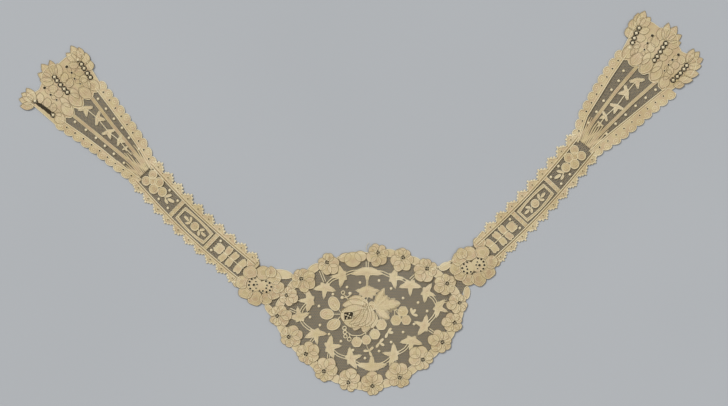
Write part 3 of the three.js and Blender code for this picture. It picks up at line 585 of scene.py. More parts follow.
def lace_finish():
    """Bleached linen thread gone ivory with age: matt and a little fuzzy, clouded every few
    millimetres with yellow and pink where it has stained. Open half stitch is painted greyer than
    the cords, as painted shade showing through it, and the cords are painted lighter, partly as
    painted highlight where they catch the light; the valleys of the weave and the pinholes are
    painted darker, as painted shade. The weave is drawn at 1.1 mm, twice as coarse as bobbin work,
    so that it still shows, and the twist of the cords at 0.9 mm."""
    made, tree, shader = finish_of("linen_lace")
    place = add(tree, "ShaderNodeTexCoord", {}).outputs["Object"]
    grain = add(tree, "ShaderNodeAttribute", {}, attribute_name="grain").outputs["Vector"]
    work = add(tree, "ShaderNodeAttribute", {}, attribute_name="work").outputs["Fac"]

    def waves(direction, drawn):
        """Even bands across the grain."""
        kind = dict(wave_type="BANDS", wave_profile="SIN", bands_direction=direction)
        return add(tree, "ShaderNodeTexWave", {"Vector": grain, **drawn}, **kind).outputs["Fac"]

    def ranged(value, low, high, side="To"):
        """A value from 0 to 1 moved to run from low to high or, on the From side, the other way."""
        ends = {f"{side} Min": low, f"{side} Max": high}
        return add(tree, "ShaderNodeMapRange", {"Value": value, **ends}).outputs["Result"]

    strands = {"Scale": 0.285, "Distortion": 0.6, "Detail Scale": 1.5}
    crossed = {0: waves("X", strands), 1: waves("Y", strands)}
    weave = add(tree, "ShaderNodeMath", crossed, operation="MULTIPLY").outputs[0]
    twist = waves("DIAGONAL", {"Scale": 0.7})
    mixed = {"Factor": work, 2: weave, 3: twist}
    relief = add(tree, "ShaderNodeMix", mixed, data_type="FLOAT").outputs[0]
    age = ranged(noise(tree, place, 38.0, 3.0), 0.35, 0.65, "From")
    stain = ranged(noise(tree, place, 170.0, 3.0), 0.38, 0.62, "From")
    fuzz = ranged(noise(tree, place, 700.0, 2.0), 0.2, 0.8, "From")
    yellow = blend(tree, age, "#cdb989", "#dccb9e")
    pink = blend(tree, age, "#c4a884", "#d8be9a")
    # The cords' lighter colour is partly painted highlight.
    cord = blend(tree, age, "#e8d8ae", "#f1e4c0")
    # Low work takes the darker ground: painted shade through open half stitch.
    clean = blend(tree, work, blend(tree, stain, yellow, pink), cord)
    # Painted shade: the low parts of the weave and twist are darkened towards brown.
    woven_shade = blend(tree, ranged(relief, 0.34, 0.0), clean, "#7d6946")
    # Painted shade: work below 0, for pinholes and eyelets, darkens the colour further.
    pierced_shade = blend(tree, ranged(work, 0.0, -1.0, "From"), woven_shade, "#85724e")
    height = add(tree, "ShaderNodeMath", {0: fuzz, 1: relief}, operation="ADD").outputs[0]
    bump = add(tree, "ShaderNodeBump", {"Height": height, "Strength": 0.5, "Distance": 0.00012})
    feeds = {
        "Base Color": pierced_shade,
        "Roughness": ranged(fuzz, 0.78, 0.95),
        "Normal": bump.outputs["Normal"],
        "Sheen Weight": 0.2,
        "Specular IOR Level": 0.25,
    }
    feed(tree, shader, feeds)
    return made


LACE_FINISH = lace_finish()
# Every small difference between one repeat and the next is drawn from here.
hand = np.random.default_rng(18)
# Petals of a border blossom whose reach is 10, the lowest first. The lobes of its outer edge are the
# first of them. turn is from the blossom's inner side, and distance is to the petal's middle.
BLOSSOM_PETALS = np.array([
    # turn, distance, half length, half width
    (160, 7.5, 2.6, 2.9),
    (-160, 7.5, 2.6, 2.9),
    (122, 6.5, 3.2, 3.4),
    (-122, 6.5, 3.2, 3.4),
    (62, 5.2, 4.4, 4.2),
    (-62, 5.2, 4.4, 4.2),
    (0, 5.7, 4.5, 4.4),
])
BLOSSOM_GROUND = 6.4
# How much the petals of one blossom differ in place and size, and how far a blossom is turned.
PETAL_SPREAD = 0.06
BLOSSOM_TURN = 9
# Each petal lies a little higher than the one before it.
PETAL = dict(cord=0.3, step=0.05, crease=0.42)
FOLD = dict(share=0.5, level=WORK_FLOOR + 0.42, step=0.04, cord=0.14)
# A blossom's eye: how far outside its middle it is, its opening, and the threads that cross it.
EYE_OUT = 2.6
EYE = dict(radius=2.2, cord=0.3, knot=0.34, spoke=0.15)
LINK = dict(half_length=6.4, half_width=3.3, outward=4.0)


def uneven(outlines, share=0.035):
    """Outlines pushed in and out by waves of three and of five to the turn, since no two petals
    come off the pillow the same."""
    turn = np.linspace(0, 2 * np.pi, outlines.shape[1], endpoint=False)
    start = hand.uniform(0, 2 * np.pi, 2)
    wave = np.cos(3 * turn + start[0]) + 0.8 * np.cos(5 * turn + start[1])
    return outlines * (1 + share * wave)[:, None]


outward = BORDER[:, :2] - MEDALLION_MIDDLE
outward /= np.linalg.norm(outward, axis=1)[:, None]
eyes = BORDER[:, :2] + EYE_OUT * BORDER[:, 2:] / 10 * outward
following = np.roll(BORDER, -1, 0)
outward_turn = np.degrees(np.arctan2(*outward.T[::-1]))
for index, (x, y, reach) in enumerate(BORDER):
    size = reach / 10
    spread = hand.uniform(1 - PETAL_SPREAD, 1 + PETAL_SPREAD, BLOSSOM_PETALS.shape)
    rows = BLOSSOM_PETALS * [1, size, size, size] * spread
    rows[:, 0] += outward_turn[index] + 180 + hand.uniform(-BLOSSOM_TURN, BLOSSOM_TURN)
    parts = []
    for order, (turn, distance, half_length, half_width) in enumerate(rows):
        spot = turned(np.array([distance, 0.0]), turn) + (x, y)
        shape = uneven(oval(half_length, half_width, 20))
        kind = dict(cord=PETAL["cord"], lift=PETAL["step"] * order, crease=PETAL["crease"], crown=0.42)
        parts += edged(shape, *spot, turn, work=hand.uniform(0.0, 0.4), **kind)
        fold = oval(half_length * FOLD["share"], half_width * FOLD["share"], 14)
        fold = moved(raised(fold, FOLD["level"] + FOLD["step"] * order), *spot, turn)
        parts.append(cords(fold, FOLD["cord"], sides=5))
    hole = oval(EYE["radius"], EYE["radius"])
    ground = oval(BLOSSOM_GROUND * size, BLOSSOM_GROUND * size)
    parts.append(rim_pad(hole, ground, *eyes[index]))
    ring = ring_path(EYE["radius"], WORK_FLOOR + 0.4)
    parts.append(cords(moved(ring, *eyes[index]), EYE["cord"]))
    # Four threads run from the knot in the eye's middle to its ring.
    around = np.radians(outward_turn[index] + 45 + 90 * np.arange(4))
    ray = np.stack([np.cos(around), np.sin(around)], -1)
    spokes = raised(np.linspace(0, EYE["radius"], 3)[:, None] * ray[:, None], WORK_FLOOR + 0.2)
    parts.append(threads(moved(spokes, *eyes[index]), EYE["spoke"]))
    parts.append(beads([eyes[index]], EYE["knot"]))
    if index != POD_AFTER:
        ahead = following[index, :2] - (x, y)
        away = np.array([-ahead[1], ahead[0]]) / np.linalg.norm(ahead) * LINK["outward"]
        link = oval(LINK["half_length"], LINK["half_width"], 14)
        link_turn = np.degrees(np.arctan2(ahead[1], ahead[0]))
        parts += edged(link, *((x, y) + ahead / 2 + away), link_turn, lift=-0.04, work=0.5, crown=0.3)
    lay(f"lace_blossom_{index + 1:02d}", parts, [f"blossom_{index + 1:02d}"])

# Where the next one would be there are only three lobes, hung from two cords.
POD_LOBES = [
    # x, y, half length, half width, turn
    (-14.2, -46.4, 5.2, 3.5, 14),
    (-0.4, -45.2, 4.8, 4.2, -10),
    (-7.4, -48.2, 7.0, 6.2, 4),
]
POD_CORDS = [
    [(-21.5, -46.6), (-13.5, -43.0), (-6.5, -41.9), (0.0, -41.5), (7.5, -42.6)],
    [(-21.0, -47.8), (-13.3, -44.3), (-6.5, -43.2), (0.0, -42.8), (7.5, -43.9)],
]
parts = stems(POD_CORDS, 0.46)
for order, (x, y, half_length, half_width, turn) in enumerate(POD_LOBES):
    kind = dict(cord=PETAL["cord"], lift=PETAL["step"] * order, crease=PETAL["crease"])
    parts += edged(oval(half_length, half_width, 22), x, y, turn, ribs=(0.06, 30), work=0.3, **kind)
lay("lace_border_pod", parts, ["border_pod"])

# ---------------------------------------------------------------------------------------------
# Ivy wreath. Leaves of the same bobbin lace with pointed lobes, a cord round each and fine cords
# for veins, strung on a vine of two cords that runs round the medallion inside the blossoms.

# One side of an ivy leaf from its middle lobe to its stalk: turn from the lobe, reach.
IVY = np.array([
    (0, 1.2), (15, 0.66), (32, 0.46), (54, 0.64), (75, 1.16), (92, 0.7), (112, 0.48), (134, 0.6),
    (156, 0.42), (180, 0.3),
])
# The same for the long low leaves in the middle of the top and bottom sprays.
CRESCENT = np.array([
    (0, 0.74), (22, 0.42), (44, 0.34), (66, 0.52), (84, 1.34), (98, 0.94), (118, 0.66), (150, 0.48),
    (180, 0.42),
])
WING = np.array([
    (0, 0.9), (20, 0.52), (36, 0.34), (62, 0.5), (84, 1.24), (103, 0.72), (140, 0.46), (180, 0.4),
])
# Reach of a leaf of size 1, and the depth of the notches between its fine teeth.
IVY_REACH = 9.0
LEAF_NOTCH = 0.06
# How far the vine bulges outwards between two leaves, as a share of their distance, and its height.
VINE_BULGE = 0.13
VINE_LEVEL = 0.4
WREATH = {
    # x, y, turn, size, shape
    "wreath_top": [
        (-32, -72.5, -95, 1.0, IVY),
        (-16.5, -62.5, 185, 1.0, IVY),
        (5.5, -59.5, -90, 1.2, CRESCENT),
        (28.5, -64.2, -4, 0.95, IVY),
        (43.5, -70.0, -90, 1.0, IVY),
    ],
    "wreath_right": [
        (57.0, -77.0, -20, 0.9, IVY),
        (68.0, -90.5, -25, 0.9, IVY),
        (56.5, -107.0, 157, 0.98, IVY),
    ],
    "wreath_bottom": [
        (44.5, -119.5, -95, 1.0, IVY),
        (29.5, -132.5, 170, 1.02, IVY),
        (9.5, -142.5, 90, 1.22, WING),
        (-9.5, -136.0, 18, 1.02, IVY),
        (-28.0, -125.5, 6, 1.04, IVY),
    ],
    "wreath_left": [
        (-40.5, -113.0, -80, 1.0, IVY),
        (-54.5, -99.5, 100, 0.95, IVY),
        (-45.0, -84.5, 180, 1.0, IVY),
    ],
}
# Short double stalks from the wreath out to the border: from and to.
STALKS = {
    "wreath_top": [((-32, -68), (-36, -58)), ((43.5, -66), (48, -62)), ((5.5, -58), (5.5, -50))],
    "wreath_right": [((68, -87), (76, -85)), ((60, -110), (66, -114))],
    "wreath_bottom": [((29.5, -136), (30.5, -143)), ((9.5, -146), (9.5, -151)), ((-28, -129), (-29, -137))],
    "wreath_left": [((-54.5, -96), (-63, -92)), ((-45, -81), (-55, -72)), ((-40.5, -116), (-46, -123))],
}


def lobed(rows, reach):
    """Outline of a leaf round its middle: the reach runs in four straight steps from row to row of
    its table down one side, and back up the other side as its mirror image. Every other step is a
    notch between two fine teeth."""
    step = np.arange((len(rows) - 1) * 4 + 1)
    turn = np.radians(np.interp(step / 4, range(len(rows)), rows[:, 0]))
    out = reach * (np.interp(step / 4, range(len(rows)), rows[:, 1]) - LEAF_NOTCH * (step % 2))
    turn, out = np.concatenate([turn, -turn[-2:0:-1]]), np.concatenate([out, out[-2:0:-1]])
    return np.stack([out * np.cos(turn), out * np.sin(turn)], -1)[None]


def leaf(rows, reach, x, y, turn, place=same, lift=0.0, **kind):
    """One leaf: worked ground, edge cord, and veins from its middle to near the tips of its middle
    lobe and of the lobe in the fifth row of its table, on both sides."""
    share = np.linspace(0.05, 0.82, 5)
    tips = [(rows[0, 0], rows[0, 1]), (rows[4, 0], rows[4, 1]), (-rows[4, 0], rows[4, 1])]
    bearing, out = np.radians([tip[0] for tip in tips])[:, None], reach * np.array(tips)[:, 1:] * share
    veins = np.stack([out * np.cos(bearing), out * np.sin(bearing)], -1)
    veins = moved(raised(veins, WORK_FLOOR + 0.5 - 0.22 * share + lift), x, y, turn)
    parts = edged(lobed(rows, reach), x, y, turn, cord=0.28, place=place, lift=lift, **kind)
    return [*parts, threads(veins, 0.2, place)]


def twin_vine(spots, apart=1.05, cord=0.42):
    """Two cords side by side along a smoothed line."""
    line = smoothed(spots)
    step = np.gradient(line, axis=0)
    aside = np.stack([-step[:, 1], step[:, 0]], -1) / np.linalg.norm(step, axis=1)[:, None]
    pair = np.array([line + sign * apart * aside for sign in (1, -1)])
    return cords(raised(pair, VINE_LEVEL), cord, looped=False)


def bulged(spots):
    """Spots with one more between each two, halfway and pushed out from the medallion's middle by a
    share of their distance."""
    spots = np.array(spots, float)
    step = np.diff(spots, axis=0)
    halfway = spots[:-1] + step / 2
    away = halfway - MEDALLION_MIDDLE
    away *= VINE_BULGE * (np.linalg.norm(step, axis=1) / np.linalg.norm(away, axis=1))[:, None]
    return np.insert(spots, np.arange(1, len(spots)), halfway + away, axis=0)


for name, leaves in WREATH.items():
    parts = [twin_vine(bulged([row[:2] for row in leaves]))]
    for x, y, turn, size, rows in leaves:
        parts += leaf(rows, IVY_REACH * size, x, y, turn, lift=0.12, crown=0.38, work=0.5)
    for stalk in STALKS[name]:
        parts.append(twin_vine(stalk, apart=0.95, cord=0.4))
    lay(f"lace_{name}", parts, [name])

# ---------------------------------------------------------------------------------------------
# Rose spray. One rose turned to the left, with an open heart of knotted threads, folded petals and
# a spray of toothed leaves behind it, three ringed buds, and a curved stem of berries under it.

ROSE_HEART = dict(x=-11.4, y=-98.0, half_length=5.0, half_width=4.3, turn=20, level=WORK_FLOOR + 0.85)
HEART_KNOTS = [(-1.7, -1.55), (1.7, -1.55), (1.7, 1.55), (-1.7, 1.55), (0, 0)]
HEART_KNOT = 0.72
# How far the crossed threads of the heart run each way from its middle.
HEART_CROSS = np.array([3.3, 3.0])
# Petals from the calyx out to the left and below, the lowest first.
ROSE_PETALS = [
    # base x, base y, tip x, tip y, bow, width, lift
    (8.0, -91.5, 9.6, -108.6, 2.0, 8.0, 0.0),
    (6.0, -93.8, 2.4, -112.0, 0.8, 9.0, 0.06),
    (2.6, -95.0, -6.2, -110.4, -1.0, 9.6, 0.1),
    (0.8, -99.0, -15.6, -102.8, 3.4, 7.4, 0.12),
    (6.4, -87.0, -10.8, -83.2, -0.6, 8.4, 0.06),
    (7.4, -89.4, -16.2, -88.4, -1.4, 8.4, 0.16),
    (6.0, -90.0, -5.9, -98.4, -0.8, 7.6, 0.16),
    (8.0, -89.0, 4.6, -107.2, 2.6, 7.4, 0.2),
    (6.4, -88.4, -1.6, -107.0, 3.2, 7.4, 0.26),
    (4.4, -88.0, -6.6, -105.8, 3.6, 6.2, 0.32),
    (1.4, -88.6, -10.2, -104.6, 4.2, 4.4, 0.38),
    (5.6, -91.8, -17.0, -94.4, -2.2, 5.4, 0.42),
    (-15.6, -91.4, -15.0, -103.0, -1.2, 2.8, 0.3),
]
# Folds of a petal: place between its middle line and its sides.
ROSE_FOLDS = (-0.62, -0.2, 0.22, 0.64)
LEAF_TEETH = 4
LEAF_SWEEP = 0.55
# Toothed leaves behind the rose, from their base.
ROSE_LEAVES = [
    # x, y, turn, length, width
    (13.6, -90.0, 46, 13.5, 6.0),
    (12.0, -90.4, 63, 18.6, 7.4),
    (12.6, -91.0, -38, 15.4, 9.4),
    (12.0, -90.0, 8, 22.6, 12.8),
]
# A toothed leaf's skin from side to side and back under: share of half its width, height.
LEAF_SKIN = np.array([(-1, 0.15), (-0.5, 0.75), (0, 1), (0.5, 0.75), (1, 0.15), (0, 0)])
CALYX = [
    # x, y, turn, length, width
    (4.6, -95.0, 97, 11.5, 4.6),
    (8.4, -94.0, 78, 8.5, 5.4),
    (14.5, -90.5, 176, 7.5, 5.0),
]


def toothed(length, width, teeth):
    """Stations of a toothed leaf from its base along +x: how far along each is, and half its width.
    Half a sine wave is cut into teeth that grow slowly and end square."""
    share = np.linspace(0.0, 1.0, 7 * teeth + 1)
    tooth = (share * teeth) % 1
    return share * length, width / 2 * np.sin(np.pi * share**0.85) * (0.72 + 0.36 * tooth) + 0.2


def bowed(length, bow, width):
    """Thirteen stations of a petal from its base along +x: its middle line, bowed to one side by a
    parabola, and half its width, which is fullest past the middle and ends in a round tip."""
    share = (1 - np.cos(np.linspace(0, np.pi, 13))) / 2
    middle = np.stack([share * length, 4 * bow * share * (1 - share)], -1)
    return middle, np.stack([0 * share, width / 2 * np.sin(np.pi * share**1.3) ** 0.7], -1)


def ribbed_leaf(x, y, turn, length, width):
    """A toothed leaf swept forward on both sides of its midrib, like a chevron, with a cord round it
    and fine cords for its midrib and for a rib to each tooth."""
    station, half = toothed(length, width, LEAF_TEETH)
    aside, height = LEAF_SKIN.T
    across = half[:, None] * aside
    plan = np.stack([station[:, None] + LEAF_SWEEP * np.abs(across), across], -1)
    skin = raised(plan, WORK_FLOOR + 0.34 * height)[None]
    parts = [shell(moved(skin, x, y, turn), skin * [1, 1, 0], 0.45)]
    rim = raised(np.concatenate([plan[:, 4], plan[::-1, 0]]), WORK_FLOOR + 0.2)[None]
    parts.append(cords(moved(rim, x, y, turn), 0.26, sides=5))
    run = np.linspace(0, 1, 5)
    midrib = raised(np.stack([run * length, 0 * run], -1), WORK_FLOOR + 0.42 - 0.2 * run)[None]
    parts.append(threads(moved(midrib, x, y, turn), 0.24))
    starts = np.linspace(0.12, 0.78, LEAF_TEETH)[:, None] * length
    reach = 0.8 * np.interp(starts, station, half)
    for sign in (1, -1):
        ribs = np.stack([starts + LEAF_SWEEP * reach * run, sign * reach * run], -1)
        ribs = moved(raised(ribs, WORK_FLOOR + 0.38 - 0.18 * run), x, y, turn)
        parts.append(threads(ribs, 0.15))
    return parts


parts = []
for row in ROSE_LEAVES:
    parts += ribbed_leaf(*row)
for x, y, turn, length, width in CALYX:
    parts += edged(petal(length, width, 0.0), x, y, turn, lift=0.1, ribs=(0.06, 24), work=0.4)
for x, y, tip_x, tip_y, bow, width, lift in ROSE_PETALS:
    turn = np.degrees(np.arctan2(tip_y - y, tip_x - x))
    middle, half = bowed(np.hypot(tip_x - x, tip_y - y), bow, width)
    scallop = 1 + 0.03 * np.cos(np.arange(len(half)) * np.pi)[:, None]
    shape = np.concatenate([middle + half * scallop, (middle - half * scallop)[-2:0:-1]])[None]
    kind = dict(cord=0.28, lift=lift, crease=0.38, crown=0.42)
    parts += edged(shape, x, y, turn, work=hand.uniform(0.0, 0.4), **kind)
    fall = 0.3 * np.linspace(-1, 1, len(half)) ** 4
    for row in ROSE_FOLDS:
        fold = raised(middle + row * half, WORK_FLOOR + lift + 0.42 - 0.18 * row**2 - fall)
        parts.append(threads(moved(fold[None], x, y, turn), 0.17))
heart_place = ROSE_HEART["x"], ROSE_HEART["y"], ROSE_HEART["turn"]
# The heart's outline is an oval drawn towards four corners.
corner = 1 + 0.12 * np.cos(4 * (2 * np.pi * np.arange(24) / 24 - 0.3))
heart = oval(ROSE_HEART["half_length"], ROSE_HEART["half_width"], 24) * corner[:, None]
parts.append(cords(moved(raised(heart, ROSE_HEART["level"]), *heart_place), 0.34))
# Two crossed threads hold a knot in the middle and four round it.
span = np.linspace(-1, 1, 7)[:, None]
for slope in (1, -1):
    leg = raised(span * HEART_CROSS * [1, slope], ROSE_HEART["level"] - 0.1)
    parts.append(cords(moved(leg[None], *heart_place), 0.13, looped=False))
heart_spots = moved(np.array([HEART_KNOTS]), *heart_place)[0]
parts.append(beads(heart_spots, HEART_KNOT, lift=0.45))
lay("lace_rose", parts, ["rose"])

# One broad leaf stands over the rose on a double stalk from the wreath, with two cords to its foot.
# Its reach, x, y and turn.
TOP_LEAF = (9.2, 5.8, -76.6, 90)
# One side of it from its tip to its stalk: turn from the tip, reach.
TOP_LEAF_ROWS = np.array([
    (0, 0.62), (30, 0.56), (50, 0.66), (68, 0.74), (84, 1.18), (98, 0.78), (112, 0.9), (124, 0.64),
    (146, 0.84), (162, 0.55), (180, 0.6),
])
TOP_LEAF_STALKS = [[(2.4, -81.5), (3.2, -85)], [(5.8, -81.5), (4.8, -85)]]
TOP_LEAF_VINE = [(5.5, -72), (5.5, -62)]
parts = leaf(TOP_LEAF_ROWS, *TOP_LEAF, lift=0.5, crown=0.36, work=0.4)
parts.append(twin_vine(TOP_LEAF_VINE, apart=0.5, cord=0.36))
parts += stems(TOP_LEAF_STALKS, level=WORK_FLOOR + 0.5)
lay("lace_top_leaf", parts, ["top_leaf"])

BUDS = [
    # x, y, half length, half width, turn
    (-23.8, -87.2, 6.4, 4.5, 115),
    (-30.2, -96.4, 5.9, 4.5, 178),
    (-24.2, -105.6, 6.1, 4.5, 208),
]
# Each has a ring worked inside its edge, so many times its size, and two eyes in that.
BUD_RING = (0.62, 0.6)
BUD_EYES = [(1.3, 0.4), (-1.3, -0.4)]
BUD_EYE = 0.85
BUD_STEM_END = (-16.6, -96.6)
# Small rings on short stems, and two solid knots among them.
RINGS = [
    # x, y, radius
    (-15.9, -77.4, 1.5),
    (-14.6, -108.8, 1.6),
    (-14.3, -112.4, 1.5),
    (-13.8, -116.0, 1.5),
    (-10.4, -118.6, 1.7),
]
RING_KNOTS = [(-9.7, -78.2), (-16.6, -81.9)]
RING_KNOT = 1.6
RING_STEMS = [
    [(-15.9, -78.4), (-12.6, -81.8), (-9.7, -79.6)],
    [(-15.9, -81.9), (-12.6, -81.8), (-10.5, -85)],
    [(-14.4, -109.2), (-12.6, -112.0), (-13.6, -113.6)],
    [(-12.6, -112.0), (-9.8, -114.4), (-10.2, -116.6)],
]
parts = []
for x, y, half_length, half_width, turn in BUDS:
    parts += edged(oval(half_length, half_width, 22), x, y, turn, crown=0.4)
    inner = oval(half_length * BUD_RING[0], half_width * BUD_RING[1], 16)
    inner = raised(inner, WORK_FLOOR + 0.5)
    parts.append(cords(moved(inner, x, y, turn), 0.22))
    for spot in moved(np.array([BUD_EYES]), x, y, turn)[0]:
        parts.append(cords(moved(ring_path(BUD_EYE, WORK_FLOOR + 0.55, 10), *spot), 0.24))
    parts += stems([[(x, y), BUD_STEM_END]])
for x, y, radius in RINGS:
    parts.append(cords(moved(ring_path(radius, WORK_FLOOR + 0.3, 12), x, y), 0.46))
parts.append(beads(RING_KNOTS, RING_KNOT, columns=12))
parts += stems(RING_STEMS)
lay("lace_bud_spray", parts, ["bud_spray"])

# Seven ringed berries on a bent stem, each scalloped six times round.
BERRIES = [
    # x, y, radius
    (37.1, -94.1, 4.2),
    (30.9, -102.0, 4.3),
    (39.9, -101.7, 4.0),
    (17.9, -105.8, 4.5),
    (12.2, -114.3, 4.3),
    (-3.8, -121.2, 4.2),
    (4.6, -119.2, 3.9),
]
BERRY_STEMS = [
    [
        (-12.6, -112.0), (-8.1, -115.5), (-0.2, -115.5), (5.5, -111.5), (10, -107), (12.8, -102.5),
        (12.2, -94.6),
    ],
    [(29.5, -92.3), (30.0, -98.2)],
    [(30.2, -92.6), (35.4, -100.0)],
    [(30.4, -92.4), (36.8, -93.6)],
    [(4.0, -112.6), (4.5, -116.5)],
    [(-4.0, -115.5), (-3.8, -118.5)],
    [(10, -107), (12.2, -111.0)],
]
SPRIG_STEM = [(4.6, -123), (5.6, -126), (7.2, -129)]
# Sprigs of three small leaves, each leaf with a turn of its own.
SPRIGS = [
    # x, y, leaf turns, leaf length
    (45.0, -96.3, (98, 52, -18), 5.2),
    (23.5, -112.7, (50, 0, 248), 5.0),
    (16.2, -121.7, (45, -30, 236), 5.0),
    (7.2, -129.0, (178, 45, -66), 5.0),
]
parts = []
for x, y, radius in BERRIES:
    scallop = 1 + 0.05 * np.cos(6 * np.linspace(0, 2 * np.pi, 24, endpoint=False))
    shape = oval(radius, radius, 24) * scallop[:, None]
    parts += edged(shape, x, y, cord=0.4, ribs=(0.09, 60), crown=0.4, work=0.35)
    parts.append(cords(moved(ring_path(radius * 0.3, WORK_FLOOR + 0.5, 10), x, y), 0.2))
for x, y, turns, length in SPRIGS:
    for turn in turns:
        parts += edged(petal(length, 1.9, 0.0, 12), x, y, turn, cord=0.24, crown=0.3, work=0.8)
parts += stems([SPRIG_STEM], 0.3)
parts += stems(BERRY_STEMS)
lay("lace_berry_spray", parts, ["berry_spray"])

# ---------------------------------------------------------------------------------------------
# Dots. Small round knots darned into the net with the cord's thread, spaced through the medallion,
# the straps and the fans.

DOT_RADIUS = 1.3
MEDALLION_DOTS = [
    (-0.9, -68.6), (15.9, -66.8), (-12.4, -72.6), (-24.8, -78.8), (-37.2, -89.4), (-45.1, -99.1),
    (-36.3, -106.2), (-28.3, -114.2), (-17.7, -120.4), (-7.1, -128.3), (3.5, -135.4), (15.9, -129.2),
    (26.6, -121.2), (37.2, -112.4), (46.9, -105.3), (58.4, -93.8), (50.4, -86.3), (37.2, -82.3),
    (26.6, -73.9),
]


def dots(name, spots, place=same):
    """Darned dots on the spots, each a low bead that lies on the net."""
    lay(name, [beads(spots, DOT_RADIUS, lift=-0.06, place=place, columns=10)], [])


dots("net_dots_medallion", MEDALLION_DOTS)

# ---------------------------------------------------------------------------------------------
# Straps. A worked band is sewn along each edge of the strap's net, straight on the inside with two
# cords, cut in blunt corners on the outside and hung with picots. Two bars of half stitch cross
# the net, and between them lie a tape frame, a spray of round petals and a tulip spray.

STRAP_EDGING = dict(start=-1.9, short=0.3, scallops=10, columns=16)
# Its sides: which way across it lies, where its notches are and how far its scallops stand out.
STRAP_SIDES = [("neck", 1, 12.6, 4.4), ("far", -1, 12.2, 3.5)]
# The right strap's neck edge is smooth as far as this scallop.
SMOOTH_SCALLOPS = {("right", "neck"): 1, ("left", "neck"): 0, ("left", "far"): 0, ("right", "far"): 0}
# One scallop, a blunt right angle: share of its length, share of its rise.
BLUNT_CORNER = np.array([
    (0, 0), (0.05, 0.02), (0.3, 0.62), (0.42, 0.95), (0.5, 1), (0.58, 0.95), (0.7, 0.62), (0.95, 0.02),
    (1, 0),
])
PICOT = dict(shares=(0.14, 0.3, 0.5, 0.7, 0.86), radius=1.05, out=0.7)
# The two cords along a band's inner edge: how far in each lies, and its radius.
LANE_CORDS = [(0.1, 0.46), (2.1, 0.3)]
# A ring with an eyelet in it lies in each scallop, this far out of the notches, and a smaller eyelet
# between each two, this far in from them.
SCALLOP_MIDDLE = 0.4
EYELET_INSET = 0.5
# Eyelets too small to see through are drawn as rings of cord painted dark, as painted shade.
SHADED_EYELET = dict(columns=8, work=-0.8)
# Two bars cross each strap this far along it, each with three rings on it.
BARS = (40.4, 82.4)
BAR_HALF = 1.65
BAR_RINGS = (0.0, 5.2, -5.2)
# Thickness of plain worked cloth.
CLOTH_BACK = 0.16


def cloth(plan, crown, kept=None, work=0.3, lift=0.0, place=same):
    """A worked ground over a grid of points (rows, columns, 2): crown is how far its top rises above
    plain cloth, cells that aren't kept are left open, and a wall closes each edge that has one cell."""
    rows, columns = plan.shape[:2]
    count = rows * columns
    number = np.arange(count).reshape(rows, columns)
    cells = np.stack([number[:-1, :-1], number[1:, :-1], number[1:, 1:], number[:-1, 1:]], -1)
    cells = cells.reshape(-1, 4) if kept is None else cells[kept]
    edges = np.stack([cells, np.roll(cells, -1, 1)], -1).reshape(-1, 2)
    shared = np.isin(edges @ [count, 1], edges @ [1, count])
    rim = edges[~shared]
    walls = np.stack([rim[:, 1], rim[:, 0], rim[:, 0] + count, rim[:, 1] + count], -1)
    faces = np.concatenate([cells, cells[:, ::-1] + count, walls])
    floor = WORK_FLOOR + lift
    top = raised(plan, floor + CLOTH_BACK + crown)
    points = np.concatenate([top.reshape(-1, 3), raised(plan, floor).reshape(-1, 3)])
    used, faces = np.unique(faces, return_inverse=True)
    faces = faces.reshape(-1, 4)
    points = points[used]
    placed = place(points)
    corner = placed[faces[0]]
    if np.cross(corner[1] - corner[0], corner[2] - corner[0])[2] < 0:
        faces = faces[:, ::-1]
    return [placed, faces, np.zeros((0, 3), int), points * [1, 1, 0], np.full(len(placed), work)]


def middles_of(plan):
    """Middles of a grid's cells."""
    return (plan[:-1, :-1] + plan[1:, 1:]) / 2


def clear_of(middles, spots, radii):
    """True for the cells whose middles lie further from every spot than its radius."""
    kept = np.ones(middles.shape[:2], bool)
    for spot, radius in zip(spots, radii):
        kept &= np.linalg.norm(middles - spot, axis=-1) > radius
    return kept


def band(lane, edge, along, place, holes=(), hole=0.0, rows=7, work=0.12):
    """A band between a lane line and an outer edge, given across at each distance along. Its crown
    rises in the middle, and the cells nearest to each hole are left open."""
    share = np.linspace(0, 1, rows)[:, None]
    across = lane + share * (edge - lane)
    plan = np.stack([np.broadcast_to(along, across.shape), across], -1)
    kept = clear_of(middles_of(plan), holes, [hole] * len(holes))
    return cloth(plan, 0.26 * np.sin(np.pi * share) ** 0.5, kept, work, place=place)


def level_cord(along, across, place, cord=CORD, looped=False, lift=0.1, work=1.0):
    """A cord laid along one line of a band: distances along it and across it."""
    flat = raised(np.stack(np.broadcast_arrays(along, across), -1), WORK_FLOOR + lift + cord * 0.75)
    return cords(flat[None], cord, looped=looped, place=place, work=work)


def rings_at(spots, radius, cord, place, lift=0.3, columns=10, work=1.0):
    """Small rings of cord round each spot (along, across)."""
    ring = np.broadcast_to(ring_path(radius, WORK_FLOOR + lift, columns), (len(spots), columns, 3))
    return cords(moved(ring, *np.array(spots, float).T), cord, place=place, sides=5, work=work)


def shaded_eyelets_at(spots, radius, cord, lift, place):
    """Rings of cord painted dark round each spot, as painted shade, which look like holes."""
    return rings_at(spots, radius, cord, place, lift, SHADED_EYELET["columns"], SHADED_EYELET["work"])


def scalloped(start, end, count, columns, profile):
    """Distances along an edging, the rise of its scallops there and the length of one scallop. Each
    scallop is a copy of the profile."""
    along = np.linspace(start, end, count * columns + 1)
    share = (np.arange(len(along)) / columns) % 1
    return along, np.interp(share, profile[:, 0], profile[:, 1]), (along[-1] - along[0]) / count


def row_of(along, across):
    """Spots in a row: distances along, and one distance across or one for each."""
    return np.stack(np.broadcast_arrays(along, across), -1).astype(float)


